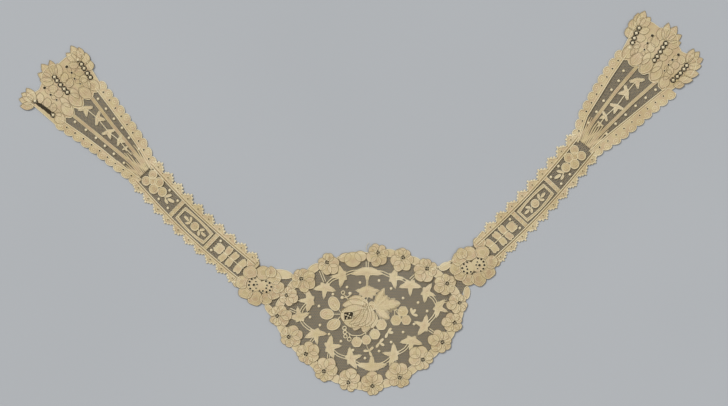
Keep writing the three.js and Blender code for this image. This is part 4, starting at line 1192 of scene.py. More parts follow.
for side, strap in STRAPS.items():
    place = partial(on_strap, side)
    for edge_name, sign, notch, scallop in STRAP_SIDES:
        count, columns = STRAP_EDGING["scallops"], STRAP_EDGING["columns"]
        end = strap["length"] - STRAP_EDGING["short"]
        along, rise, pitch = scalloped(STRAP_EDGING["start"], end, count, columns, BLUNT_CORNER)
        smooth = SMOOTH_SCALLOPS[side, edge_name]
        rise[: smooth * columns] = np.linspace(0.2, 0.6, smooth * columns)
        edge = sign * (notch + scallop * rise)
        lane = np.full(len(along), sign * LANE_HALF)
        parts = [band(lane, edge, along, place), level_cord(along, edge, place)]
        for inset, cord in LANE_CORDS:
            parts.append(level_cord(along[::4], sign * (LANE_HALF + inset), place, cord, lift=0.2))
        starts = along[0] + pitch * np.arange(smooth, count)
        middles = row_of(starts + pitch / 2, sign * (notch + SCALLOP_MIDDLE))
        parts.append(rings_at(middles, 1.15, 0.3, place, lift=0.5))
        parts.append(shaded_eyelets_at(middles, 0.4, 0.42, 0.36, place))
        # Pinholes between the two cords, a dark cord of painted shade.
        line = sign * (LANE_HALF + np.mean([inset for inset, _ in LANE_CORDS]))
        parts.append(level_cord(along[::4], line, place, 0.3, lift=0.12, work=PINHOLE_SHADE["work"]))
        between = row_of(starts, sign * (notch - EYELET_INSET))
        parts.append(shaded_eyelets_at(between, 0.3, 0.4, 0.3, place))
        # Three fine ribs fan out from each ring to its scallop's corner.
        ray = np.radians([30, 90, 150])
        ray = np.stack([np.cos(ray), sign * np.sin(ray)], -1)
        ribs = middles[:, None, None] + np.linspace(1.5, 3.0, 3)[:, None] * ray[:, None]
        parts.append(threads(raised(ribs, WORK_FLOOR + 0.5).reshape(-1, 3, 3), 0.22, place))
        out = notch + scallop * np.interp(PICOT["shares"], *BLUNT_CORNER.T) + PICOT["out"]
        picots = row_of(starts[:, None] + pitch * np.array(PICOT["shares"]), sign * out).reshape(-1, 2)
        picots += hand.uniform(-1, 1, picots.shape) * [0.35, 0.3]
        parts.append(beads(picots, PICOT["radius"], lift=-0.1, place=place, columns=8))
        if edge_name == "far":
            for bar in BARS:
                across = np.linspace(-LANE_HALF, LANE_HALF, 9)
                lines = np.linspace(bar - BAR_HALF, bar + BAR_HALF, 5)
                plan = np.stack(np.meshgrid(lines, across, indexing="ij"), -1)
                parts.append(cloth(plan, 0.12, work=0.05, place=place))
                for line in (lines[0], lines[-1]):
                    parts.append(level_cord(line, across, place, 0.3, lift=0.12))
                parts.append(rings_at(row_of(bar, BAR_RINGS), 1.1, 0.24, place, lift=0.35))
        lay(f"lace_edging_{edge_name}_{side}", parts, [f"strap_edging_{edge_name}_{side}"])

# Tape frame: two long and two short lengths of braided tape, mitred, with a ring in each corner, and
# a ball between two sprigs inside it.
# bow is how far its long sides bow out, and more_bow is what their inner edges have on top of that.
FRAME = dict(along=60.8, half_length=16.9, half_width=6.4, tape=1.4, bow=0.8, more_bow=0.9, rings=1.3)
FRAME_BALL = dict(along=60.0, radius=3.6)
# A sprig's leaves from the ball's middle.
SPRIG_LEAVES = [
    # out, across, turn, half length, half width
    (10.2, 0.0, 2, 2.7, 1.0),
    (6.8, 2.2, 50, 2.1, 0.95),
    (6.6, -2.2, -46, 2.1, 0.95),
]


def box_outline(half_length, half_width, bow):
    """A rectangle's outline with evenly shared points, its long sides bowed out by a parabola."""
    share = np.linspace(0, 4, 40, endpoint=False)
    corner = np.array([(1, 1), (-1, 1), (-1, -1), (1, -1), (1, 1)])
    unit = np.stack([np.interp(share, range(5), corner[:, k]) for k in (0, 1)], -1)
    width = half_width + bow * (1 - unit[:, :1] ** 2)
    return (unit * np.hstack([np.full_like(width, half_length), width]))[None]


for side in STRAPS:
    place = partial(on_strap, side)
    middle = FRAME["along"]
    outer = box_outline(FRAME["half_length"], FRAME["half_width"], FRAME["bow"])
    inner_size = FRAME["half_length"] - FRAME["tape"], FRAME["half_width"] - FRAME["tape"] - FRAME["more_bow"]
    inner = box_outline(*inner_size, FRAME["bow"] + FRAME["more_bow"])
    parts = [rim_pad(inner, outer, middle, 0.0, work=0.3, place=place)]
    for outline in (outer, inner):
        path = raised(outline, WORK_FLOOR + 0.3)
        parts.append(cords(moved(path, middle, 0.0), 0.36, place=place))
    rungs = raised(np.stack([inner[0], outer[0]], 1), WORK_FLOOR + 0.26)
    parts.append(threads(moved(rungs, middle, 0.0), 0.2, place))
    corner_x, corner_y = FRAME["half_length"] - FRAME["rings"], FRAME["half_width"] - FRAME["rings"]
    corners = [(middle + a * corner_x, b * corner_y) for a in (1, -1) for b in (1, -1)]
    parts.append(rings_at(corners, 0.8, 0.26, place, lift=0.42))
    lay(f"lace_tape_frame_{side}", parts, [f"tape_frame_{side}"])

    middle = FRAME_BALL["along"]
    ball = oval(FRAME_BALL["radius"], FRAME_BALL["radius"])
    parts = edged(ball, middle, place=place, ribs=(0.05, 45))
    parts.append(rings_at([(middle, 0.0)], 1.3, 0.24, place, lift=0.72))
    for sign in (1, -1):
        for out, across, turn, half_length, half_width in SPRIG_LEAVES:
            spot = middle + sign * out, across, turn if sign > 0 else 180 - turn
            shape = oval(half_length, half_width, 12)
            parts += edged(shape, *spot, cord=0.28, place=place, crown=0.3, work=0.6)
        stem = sign * np.array([3.2, 5.2, 7.4]) + middle
        parts.append(level_cord(stem, 0.0, place, 0.3))
    lay(f"lace_frame_sprig_{side}", parts, [f"frame_sprig_{side}"])

# Six round petals beside the gathers, with a sprig on a hooked stem, and below the frame a square
# tulip over three pairs of leaves that grow towards the junction.
ROUND_PETALS = [
    # along, across, radius, the lowest first
    (114.4, 1.4, 3.2),
    (118.9, -3.2, 3.8),
    (118.4, 5.0, 3.7),
    (109.8, 4.4, 4.0),
    (109.3, -3.0, 4.1),
    (101.8, 0.8, 3.9),
]
HOOK = [(101.0, 0.5), (98.8, -0.6), (96.4, -0.8), (94.6, -1.6), (92.6, -1.9)]
HOOK_LEAVES = [
    # along, across, turn, half length, half width
    (95.6, 2.4, 118, 2.9, 1.0),
    (91.2, 1.2, 162, 3.3, 1.15),
    (93.4, -2.4, 190, 2.2, 0.95),
]
TULIP = dict(along=30.8, half_length=4.1, half_width=4.4)
PAIRED_LEAVES = [
    # along, across, half length, half width, turn
    (23.5, 4.3, 4.1, 2.8, 84),
    (16.2, 3.9, 3.8, 2.9, 98),
    (6.6, 3.5, 4.1, 3.2, 100),
]
TULIP_STEM = (3.0, 27.0)
# Outlines of the tulip, square with a toothed top, and of its leaves, square with a notched tip, as
# shares of an oval's.
turns = 2 * np.pi * np.arange(24) / 24
SQUARE = 1 + 0.13 * np.cos(4 * (turns - np.pi / 4)) + 0.05 * np.cos(turns)
SQUARE += 0.1 * np.cos(12 * turns) * (np.cos(turns) > 0.6)
NOTCHED = 1 + 0.1 * np.cos(4 * (turns - np.pi / 4)) - 0.24 * np.maximum(np.cos(turns), 0) ** 12
for side in STRAPS:
    place = partial(on_strap, side)
    parts = stems([HOOK], 0.45, place=place)
    for order, (along, across, radius) in enumerate(ROUND_PETALS):
        lift = 0.04 * order
        kind = dict(lift=lift, ribs=(0.06, 40), work=0.15, place=place)
        parts += edged(oval(radius, radius), along, across, **kind)
        parts.append(rings_at([(along, across)], radius * 0.5, 0.2, place, lift=0.6 + lift))
    for along, across, turn, half_length, half_width in HOOK_LEAVES:
        shape = oval(half_length, half_width, 12)
        parts += edged(shape, along, across, turn, cord=0.3, crown=0.3, work=0.6, place=place)
    lay(f"lace_petal_spray_{side}", parts, [f"petal_spray_{side}"])

    shape = SQUARE[:, None] * oval(TULIP["half_length"], TULIP["half_width"], 24)
    parts = edged(shape, TULIP["along"], ribs=(0.08, 30), work=0.3, place=place)
    parts.append(level_cord(np.linspace(*TULIP_STEM, 7), 0.0, place, 0.4))
    for along, across, half_length, half_width, turn in PAIRED_LEAVES:
        for sign in (1, -1):
            shape = NOTCHED[:, None] * oval(half_length, half_width, 24)
            spot = (along, sign * across, sign * turn)
            parts += edged(shape, *spot, cord=0.32, crown=0.42, place=place, ribs=(0.06, 40), work=0.25)
    lay(f"lace_tulip_spray_{side}", parts, [f"tulip_spray_{side}"])

STRAP_DOTS = [(98.2, 6.6), (99.8, -5.8), (86.6, 5.4), (88.5, -5.4), (34.6, 5.9), (35, -5.7)]
for side in STRAPS:
    dots(f"net_dots_strap_{side}", STRAP_DOTS, partial(on_strap, side))

# ---------------------------------------------------------------------------------------------
# Junction blossoms. Over each foot of the medallion two open wheels, discs of cloth stitch pierced
# in an arc and again in their middle, lie side by side in one cluster of large half-stitch petals.
# A leaf trails from it, and a short one ties it to the medallion's border.

WHEELS = [
    # along, across, radius
    (-13.0, -4.8, 6.7),
    (-22.8, 0.8, 6.0),
]
# How far a wheel's cloth goes on under the petals, and how far off it their edges stay.
WHEEL_MARGIN = 0.4
WHEEL_GAP = 0.2
WHEEL_HOLES = np.array([
    # along, across, radius
    (-9.7, 0.4, 1.1), (-8.5, -2.3, 1.1), (-8.7, -5.2, 1.15), (-10.4, -7.9, 1.15), (-13.3, -9.6, 1.1),
    (-16.4, -9.6, 0.9), (-13.4, -5.0, 1.3), (-12.7, -1.6, 0.85), (-15.2, -2.9, 0.9), (-16.8, -6.0, 0.8),
    (-18.9, 4.4, 1.05), (-22.2, 5.2, 1.15), (-25.7, 3.6, 1.15), (-26.9, 0.5, 1.1), (-25.9, -2.6, 1.15),
    (-22.9, -4.0, 1.0), (-23.3, -0.2, 1.0), (-22.0, 2.2, 0.9),
])
JUNCTION_PETALS = [
    # along, across, radius, the lowest first
    (1.0, 9.4, 5.0),
    (-1.8, -11.8, 4.4),
    (-31.2, 0.4, 5.0),
    (-29.6, -7.6, 4.8),
    (-30.0, 7.2, 5.0),
    (-22.6, -13.4, 6.0),
    (-22.0, 11.2, 5.6),
    (-12.6, -14.6, 5.6),
    (-12.0, 8.6, 5.8),
    (-4.6, -9.6, 5.6),
    (-3.6, 1.4, 5.6),
    (-16.6, 13.2, 4.4),
]
JUNCTION_LEAF = {
    # along, across, turn, half length, half width
    "left": (-24.6, 18.2, 148, 9.4, 3.9),
    "right": (-35.0, 15.4, -17, 5.2, 3.2),
}
# Cords that finish the net's free edge between the border and the junction.
EDGE_CORDS = {
    "left": [],
    "right": [
        [(-46.0, 24.0), (-41.6, 21.2), (-38.0, 18.4), (-34.2, 17.6), (-28.0, 15.4), (-23.0, 13.8)],
        [(-46.0, 22.8), (-41.8, 20.0), (-38.4, 17.2), (-34.2, 16.4), (-28.0, 14.2), (-23.0, 12.6)],
    ],
}
JUNCTION_TIE = {
    # along, across, turn, half length, half width
    "left": (-38.4, -12.6, 192, 5.6, 2.6),
    "right": (-38.8, -14.8, 222, 5.6, 2.6),
}
for side in STRAPS:
    place = partial(on_strap, side)
    parts = []
    for order, (along, across, radius) in enumerate(WHEELS):
        radius += WHEEL_MARGIN
        line = np.linspace(-1, 1, 37)
        plan = np.stack(np.meshgrid(line, line, indexing="ij"), -1) * radius + (along, across)
        kept = clear_of(middles_of(plan), WHEEL_HOLES[:, :2], WHEEL_HOLES[:, 2])
        kept &= ~clear_of(middles_of(plan), [(along, across)], [radius])
        parts.append(cloth(plan, 0.14, kept, lift=0.03 * order, place=place))
    centre = np.mean([row[:2] for row in WHEELS], axis=0)
    for order, (along, across, radius) in enumerate(JUNCTION_PETALS):
        # A petal points away from the cluster's middle and ends where the nearer wheel begins.
        away = np.degrees(np.arctan2(across - centre[1], along - centre[0]))
        *near, wheel = min(WHEELS, key=lambda row: np.hypot(row[0] - along, row[1] - across))
        shape = uneven(oval(radius * 1.02, radius, 20), 0.05)
        gap = moved(shape, along, across, away)[0] - near
        reach = np.linalg.norm(gap, axis=1)
        shape = near + gap * (np.maximum(reach, wheel + WHEEL_GAP) / reach)[:, None]
        kind = dict(cord=0.32, crease=0.45, crown=0.42, work=0.02, place=place)
        parts += edged(shape[None], lift=0.04 * order, **kind)
        middle = shape.mean(0)
        fold = (middle + (shape - middle) * 0.5).T
        parts.append(level_cord(*fold, place, 0.17, looped=True, lift=0.42 + 0.03 * order))
    for *spot, radius in WHEEL_HOLES:
        parts.append(rings_at([spot], radius + 0.1, 0.24, place, lift=0.4, columns=12))
    *spot, half_length, half_width = JUNCTION_LEAF[side]
    shape = oval(half_length, half_width, 20)
    parts += edged(shape, *spot, crown=0.4, work=0.4, lift=0.05, place=place)
    parts += stems(EDGE_CORDS[side], 0.46, place=place)
    *spot, half_length, half_width = JUNCTION_TIE[side]
    shape = oval(half_length, half_width, 20)
    parts += edged(shape, *spot, crown=0.36, work=0.3, place=place)
    lay(f"lace_junction_{side}", parts, [f"junction_blossoms_{side}"])

# ---------------------------------------------------------------------------------------------
# Fans. Each widens from the strap's end like a lappet: two worked bands with round scallops and a
# row of small holes, two plain tapes that draw together towards the throat, a spray of ivy between
# them, and a row of pleats where the net is gathered to the strap's width.

FAN_EDGING = dict(start=-4.0, end=84.0, scallops=10, rise=2.9, columns=14, hole=0.95)
# Its sides: which way across it lies, and its columns of FAN_SECTIONS, the band's lane and edge.
FAN_SIDES = [("neck", 1, 3, 1), ("far", -1, 4, 2)]
# The two cords along its inner edge: how far in each lies, and its radius.
FAN_LANE_CORDS = [(0.1, 0.46), (1.9, 0.26)]
# A ring with a knot in it fills each of its scallops.
SCALLOP_RING = dict(inset=0.6, radius=2.2, knot=0.7)
TAPES = {
    # along, across the neck tape, across the far tape
    "left": np.array([(2, 5.0, -1.8), (16.5, 6.6, -2.2), (49, 9.4, -6.0), (81, 13.2, -9.9)]),
    "right": np.array([(2, 5.4, -2.6), (19, 7.6, -4.6), (52, 8.4, -8.8), (82, 7.2, -14.4)]),
}
TAPE_HALF = 1.25
# One side of a three-lobed leaf from its long lobe to its stalk: turn from the lobe, reach.
FAN_LEAF = np.array([
    (0, 1.12), (12, 0.76), (34, 0.42), (62, 0.46), (80, 0.92), (93, 0.95), (106, 0.52), (140, 0.3),
    (180, 0.3),
])
FAN_LEAF_REACH = 7.4
FAN_IVY = {
    # along, across, turn, size
    "left": [
        (76.1, 2.4, 214, 0.96), (62.2, 4.0, 147, 0.92), (46.9, 2.6, 206, 0.86), (34.8, 4.2, 152, 0.7),
        (26.2, 3.4, 192, 0.42),
    ],
    "right": [
        (71.8, -0.2, 225, 0.98), (57.6, 0.4, 137, 0.98), (42.6, -0.3, 198, 0.9), (29.4, 2.2, 150, 0.68),
        (21.4, 1.6, 176, 0.42),
    ],
}
# The ivy's stem ends this far along.
STEM_END = 18.0
FAN_DOTS = {
    "left": [
        (73.6, -12.6), (61.8, -10.5), (50.5, -9.0), (39.9, -8.2), (29.3, -7.4), (17.4, -6.6),
        (74.1, 16.2), (62.9, 15.2), (51.6, 14.1), (40.9, 13.7), (30.3, 12.0), (17.1, 11.6),
    ],
    "right": [
        (71.0, 14.2), (61.3, 12.2), (51.2, 12.2), (39.2, 11.7), (27.7, 10.6), (15.7, 10.1),
        (75.3, -18.4), (64.3, -15.9), (53.2, -13.3), (41.5, -11.2), (29.8, -9.2), (17.9, -8.4),
    ],
}
# One round scallop: share of its length, share of its rise, a half sine made fuller by a power.
round_share = np.linspace(0, 1, 15)
ROUND = np.stack([round_share, np.sin(np.pi * round_share) ** 0.6], -1)
fan_holes = {side: [] for side in STRAPS}
for side in STRAPS:
    place = partial(on_fan, side)
    for edge_name, sign, lane_column, edge_column in FAN_SIDES:
        run = FAN_EDGING["start"], FAN_EDGING["end"], FAN_EDGING["scallops"], FAN_EDGING["columns"]
        along, rise, pitch = scalloped(*run, ROUND)
        lane = fan_column(side, lane_column, along)
        edge = fan_column(side, edge_column, along) + sign * (FAN_EDGING["rise"] * rise - 0.4)
        spots = along[0] + pitch * np.arange(1, FAN_EDGING["scallops"])
        hole_at = 0.5 * (fan_column(side, edge_column, spots) + fan_column(side, lane_column, spots))
        holes = row_of(spots, hole_at)
        fan_holes[side].append(holes)
        parts = [band(lane, edge, along, place, holes, FAN_EDGING["hole"], rows=10)]
        parts.append(rings_at(holes, FAN_EDGING["hole"] + 0.15, 0.3, place, lift=0.42, columns=12))
        parts.append(level_cord(along, edge, place))
        for inset, cord in FAN_LANE_CORDS:
            parts.append(level_cord(along[::3], lane[::3] + sign * inset, place, cord, lift=0.2))
        spots = along[0] + pitch * (np.arange(FAN_EDGING["scallops"]) + 0.5)
        middles = row_of(spots, fan_column(side, edge_column, spots) - SCALLOP_RING["inset"] * sign)
        parts.append(rings_at(middles, SCALLOP_RING["radius"], 0.3, place, lift=0.34, columns=14))
        parts.append(beads(middles, SCALLOP_RING["knot"], lift=0.2, place=place))
        lay(f"lace_fan_edging_{edge_name}_{side}", parts, [f"fan_edging_{edge_name}_{side}"])

    for edge_name, column in (("neck", 1), ("far", 2)):
        along = np.linspace(TAPES[side][0, 0], TAPES[side][-1, 0], 45)
        line = np.interp(along, TAPES[side][:, 0], TAPES[side][:, column])
        # Work just below 0 darkens the tape a tenth of the way to the pinholes' painted shade.
        parts = [band(line - TAPE_HALF, line + TAPE_HALF, along, place, rows=4, work=-0.1)]
        for sign in (1, -1):
            parts.append(level_cord(along, line + sign * TAPE_HALF, place, 0.3, lift=0.06, work=0.5))
        lay(f"lace_fan_tape_{edge_name}_{side}", parts, [f"fan_tape_{edge_name}_{side}"])

    rows = FAN_IVY[side]
    parts = stems([[row[:2] for row in rows] + [(STEM_END, rows[-1][1])]], 0.42, place=place)
    for along, across, turn, size in rows:
        reach = FAN_LEAF_REACH * size
        parts += leaf(FAN_LEAF, reach, along, across, turn, place=place, lift=0.1, crown=0.34, work=0.42)
    lay(f"lace_fan_ivy_{side}", parts, [f"fan_ivy_{side}"])
    dots(f"net_dots_fan_{side}", FAN_DOTS[side], place)

# Gathers: the net drawn up in soft pleats that run out of the throat and fade at uneven lengths.
# Each pleat is a flattened tube that sways a little, narrows and sinks along its run.
GATHERS = dict(count=15, start=-1.6, low=12.0, high=24.0, height=0.85, overlap=1.15, sway=0.3, under=1.5)
for side in STRAPS:
    run = np.linspace(0, 1, 16)[:, None]
    pleats = []
    ends = hand.uniform(GATHERS["low"], GATHERS["high"], GATHERS["count"])
    for share, end in zip(np.linspace(-1, 1, GATHERS["count"]), ends):
        along = GATHERS["start"] + (end - GATHERS["start"]) * run
        high = fan_column(side, 3, along) + GATHERS["under"]
        low = fan_column(side, 4, along) - GATHERS["under"]
        middle = (high + low) / 2 + share * (high - low) / 2
        middle = middle + GATHERS["sway"] * np.sin(along / 2.3 + 9 * share)
        half = (high - low) / 2 / GATHERS["count"] * GATHERS["overlap"] * (1 - 0.75 * run**2.5)
        height = GATHERS["height"] * (1 - 0.8 * run**1.6) * (0.75 + 0.25 * np.sin(7 * share + run * 5))
        x, y = round_points(10).T
        level = WORK_FLOOR + 0.1 + height * np.maximum(y, -0.15)
        pleats.append(np.stack(np.broadcast_arrays(along, middle + half * x, level), -1))
    pleats = np.array(pleats)
    lay(f"net_gathers_{side}", [shell(on_fan(side, pleats), pleats * [1, 1, 0], 0.3)], [])

# ---------------------------------------------------------------------------------------------
# Heavy ends. The outer end of each fan is worked solid in cloth stitch: three heads of long pointed
# petals, each round a slot that is a row of open rings with a ball in each, and small holes between
# the heads.

# The work starts here along the fan, and round lobes stand out of its inner edge.
HEAVY = dict(start=84.0, lobe=5.2, lobe_half=4.6)
HEAVY_LOBES = (-21.0, -10.5, 1.0, 12.5, 22.0)
# How far across it reaches, at its start and at its outer edge.
HEAVY_REACH = {
    # far start, far outer, neck start, neck outer
    "left": (-26.6, -29.5, 27.0, 33.5),
    "right": (-29.5, -35.5, 25.5, 32.5),
}
# Its outer edge, without the petals' tips.
HEAVY_EDGE = np.array([
    # across, along
    (-36.0, 104.0), (-34.4, 112.0), (-31.0, 118.0), (-24.0, 119.5), (-19.5, 117.0), (-15.5, 116.0),
    (-9.0, 119.0), (-5.0, 124.0), (1.5, 125.5), (8.0, 124.0), (12.5, 120.5), (20.0, 120.5), (25.5, 119.0),
    (30.5, 120.0), (33.0, 115.0), (34.0, 106.0),
])
# A strip of net lies under the slots, and its dark haze paints shade in them.
END_NET = dict(start=91.0, end=114.0, half_width=26.8)
SLOTS = {
    # from along, across, to along, across, which rings still have their ball
    "left": [
        (92.3, 24.6, 111.2, 27.5, (1, 1, 1, 1, 1)),
        (96.8, 0.8, 115.0, 1.8, (1, 1, 1, 1, 1)),
        (91.2, -22.0, 111.2, -25.4, (1, 0, 0, 0, 1)),
    ],
    "right": [
        (90.2, 22.4, 109.2, 27.0, (1, 1, 1, 1, 1)),
        (94.8, -1.4, 113.4, -0.2, (1, 1, 1, 1, 1)),
        (91.6, -25.6, 109.4, -27.0, (1, 1, 1, 1, 1)),
    ],
}
SLOT_HOLE = 2.55
SLOT_BALL = 1.35
# Half the width of a slot where it has torn open.
TORN_HALF = 1.7
# Small holes lie in two rows, one on each side, the outermost first. A seed lies between each two.
SMALL_HOLES = {
    "left": [
        (113.7, 16.0), (106.8, 15.5), (101.2, 13.7), (94.6, 14.1), (113.9, -11.0), (105.7, -11.4),
        (98.9, -10.7),
    ],
    "right": [
        (111.1, 13.4), (103.1, 12.7), (96.9, 11.3), (90.4, 9.5), (112.1, -15.1), (105.3, -13.7),
        (99.6, -13.6), (93.3, -14.1),
    ],
}
SMALL_HOLE_SIZES = (1.5, 1.2, 1.05, 0.9)
SEED = dict(apart=1.5, shortest=1.3, half_width=1.5)
# Petals of the three heads and of the inner edge: where each starts, where its tip is, its width.
HEADS = [
    # the neck side's head
    (110.0, 28.0, 124.0, 31.4, 6.9), (109.0, 30.0, 118.6, 35.4, 6.4), (111.0, 26.0, 122.4, 24.4, 6.7),
    (104.0, 30.0, 111.4, 36.4, 6.7), (97.0, 28.4, 103.4, 34.6, 6.7),
    (107.0, 24.4, 114.0, 18.8, 6.2), (100.0, 23.4, 105.4, 17.4, 6.2), (94.0, 22.4, 98.0, 16.2, 6.2),
    # the middle head
    (115.0, 4.0, 128.4, 8.8, 6.7), (115.0, -1.4, 127.6, -6.8, 6.7), (116.4, 1.4, 130.4, 1.8, 7.2),
    (112.0, 5.4, 122.0, 12.0, 6.9), (112.0, -2.6, 121.6, -9.4, 6.4), (105.4, 5.0, 111.8, 12.0, 6.4),
    (105.4, -3.0, 111.0, -9.2, 6.2), (99.4, 4.4, 104.4, 11.2, 6.2), (99.4, -3.0, 104.0, -9.0, 6.2),
    # the far side's head
    (112.0, -25.0, 124.2, -22.6, 6.4), (112.0, -27.0, 122.4, -33.8, 6.4), (112.6, -26.0, 125.0, -28.4, 6.4),
    (109.0, -28.4, 117.0, -37.2, 6.4), (107.0, -22.6, 113.6, -17.0, 6.2), (100.6, -21.4, 105.8, -15.4, 6.2),
    (94.4, -20.4, 98.8, -14.6, 6.0),
    # behind the inner edge
    (97.0, 18.0, 86.0, 18.4, 5.2), (98.0, 5.4, 86.0, 5.0, 5.4), (98.0, -7.0, 86.0, -6.8, 5.0),
    (96.5, -18.2, 86.4, -18.4, 5.0),
    # the inner edge
    (92.0, 20.6, 79.6, 22.0, 9.1), (93.0, 11.6, 79.6, 12.4, 9.3), (94.0, 1.0, 79.4, 1.0, 9.5),
    (93.0, -9.6, 79.6, -10.4, 9.3), (91.0, -19.6, 79.8, -20.8, 9.1),
]
# The left end is worked plain along its far side; the right end keeps its petals there.
SIDE_HEADS = {
    "left": [],
    "right": [
        (102.0, -29.6, 110.0, -38.8, 6.4), (95.0, -28.8, 102.4, -38.2, 6.4), (89.0, -27.6, 94.8, -35.8, 6.0),
    ],
}
# Veins of a pointed petal: place between its middle line and its sides, and the share it stops at.
PETAL_VEINS = [(-0.5, 0.62), (0.0, 0.85), (0.5, 0.62)]


def pointed_line(share, length, width):
    """One side of a pointed petal along +x: the half width swells with the share of the length to
    the power 0.6 and falls to a straight-sided tip by one less its square."""
    return np.stack([share * length, width * share**0.6 * (1 - share**2)], -1)


def pointed(length, width):
    """Pointed petal outlines along +x: one side, and its mirror image back."""
    side_line = pointed_line(np.linspace(0, 1, 10), length, width)
    return np.concatenate([side_line, side_line[-2:0:-1] * [1, -1]])[None]


def line_through(ends, count):
    """So many spots evenly spaced along a straight line, given as its two ends."""
    start, end = np.array(ends[:2]), np.array(ends[2:])
    return start + np.linspace(0, 1, count)[:, None] * (end - start)


def gap_to_line(points, start, end):
    """Distance from points to the nearest place on a straight line between two spots."""
    share = np.clip(((points - start) @ (end - start)) / ((end - start) @ (end - start)), 0, 1)
    return np.linalg.norm(points - start - share[..., None] * (end - start), axis=-1)


for side in STRAPS:
    place = partial(on_fan, side)
    half = END_NET["half_width"]
    cells = net_cells((END_NET["start"], -half), (END_NET["end"], half))
    net_sheet(f"end_net_{side}", cells, place, [], (2 * half, END_NET["end"] - END_NET["start"]))

    # The solid ground, a grid of 60 rows from its lobed inner edge to its outer edge.
    down = np.linspace(0, 1, 60)[:, None]
    far_start, far_outer, neck_start, neck_outer = HEAVY_REACH[side]
    far = far_start + down * (far_outer - far_start)
    neck = neck_start + down * (neck_outer - neck_start)
    across = far + (neck - far) * np.linspace(0, 1, 131)
    from_lobes = (across[:1, :, None] - np.array(HEAVY_LOBES)) / HEAVY["lobe_half"]
    inner = HEAVY["start"] - HEAVY["lobe"] * np.exp(-(from_lobes**4)).sum(-1)
    outer = np.interp(across[-1], HEAVY_EDGE[:, 0], HEAVY_EDGE[:, 1])
    plan = np.stack([inner + down * (outer - inner), across], -1)

    chains = []
    for *ends, balls in SLOTS[side]:
        spots = line_through(ends, len(balls))
        chains.append((spots + hand.uniform(-0.3, 0.3, spots.shape), np.array(balls, bool)))
    rings = np.concatenate([spots[balls] for spots, balls in chains])
    small = np.array(SMALL_HOLES[side])
    small_rows = small[small[:, 1] > 0], small[small[:, 1] < 0]
    small_sizes = np.concatenate([SMALL_HOLE_SIZES[: len(row)] for row in small_rows])
    holes = np.concatenate([rings, small])
    hole_sizes = np.concatenate([np.full(len(rings), SLOT_HOLE), small_sizes])
    kept = clear_of(middles_of(plan), holes, hole_sizes)
    # Where balls have gone, the slot has torn open from one ring to the next.
    for spots, balls in chains:
        for start, end, whole in zip(spots[:-1], spots[1:], balls[:-1] & balls[1:]):
            if not whole:
                kept &= gap_to_line(middles_of(plan), start, end) > TORN_HALF
    parts = [cloth(plan, 0.12, kept, work=0.15, place=place)]
    rim = np.concatenate([plan[0], plan[1:-1, -1], plan[-1, ::-1], plan[-2:0:-1, 0]])[::2]
    parts.append(level_cord(*rim.T, place, 0.36, looped=True))

    heads = np.array(HEADS + SIDE_HEADS[side])
    heads += hand.uniform(-0.6, 0.6, heads.shape)
    for order, (base_along, base_across, tip_along, tip_across, width) in enumerate(heads):
        lift = 0.04 + 0.02 * (order % 9)
        length = np.hypot(tip_along - base_along, tip_across - base_across)
        turn = np.degrees(np.arctan2(tip_across - base_across, tip_along - base_along))
        shape = moved(pointed(length, width), base_along, base_across, turn)
        # A petal's edge is pushed off the holes.
        for spot, reach in zip(holes, hole_sizes + 0.25):
            gap = shape - spot
            out = np.linalg.norm(gap, axis=-1, keepdims=True)
            shape = spot + gap * np.maximum(out, reach) / out
        kind = dict(cord=0.26, crease=0.35, crown=0.3, place=place)
        parts += edged(shape, lift=lift, work=hand.uniform(-0.05, 0.4), **kind)
        for aside, stop in PETAL_VEINS:
            line = pointed_line(np.linspace(0.15, stop, 6), length, width) * [1, aside]
            vein = raised(line[None], WORK_FLOOR + lift + 0.3 - 0.1 * abs(aside))
            parts.append(threads(moved(vein, base_along, base_across, turn), 0.17, place))

    for spot, radius in zip(small, small_sizes):
        parts.append(rings_at([spot], radius + 0.1, 0.26, place, lift=0.36, columns=12))
    for row in small_rows:
        for start, end in zip(row[:-1], row[1:]):
            step = end - start
            turn = np.degrees(np.arctan2(step[1], step[0]))
            length = np.hypot(*step) / 2 - SEED["apart"]
            seed = oval(max(length, SEED["shortest"]), SEED["half_width"], 12)
            parts += edged(seed, *(start + step / 2), turn, cord=0.22, crease=0.3, crown=0.3, place=place)
    parts.append(beads(rings, SLOT_BALL, lift=0.2, place=place, columns=10))
    # Two fine threads cross in each ring and hold its ball.
    across_ring = np.linspace(-SLOT_HOLE, SLOT_HOLE, 5)
    for direction in ((1, 0), (0, 1)):
        crossing = rings[:, None] + across_ring[:, None] * np.array(direction)
        parts.append(threads(raised(crossing, WORK_FLOOR + 0.45), 0.13, place))
    lay(f"lace_heavy_end_{side}", parts, [f"heavy_end_{side}"])

# ---------------------------------------------------------------------------------------------
# Shade behind the openings. Discs of painted shade lie behind the blossoms' eyes, the rose's
# heart, the wheels, the slots and the small holes, and make them look dark.

# How far a back reaches past its hole, and the radius of a small hole's.
BACK_MARGIN = 0.2
SMALL_BACK = 1.6

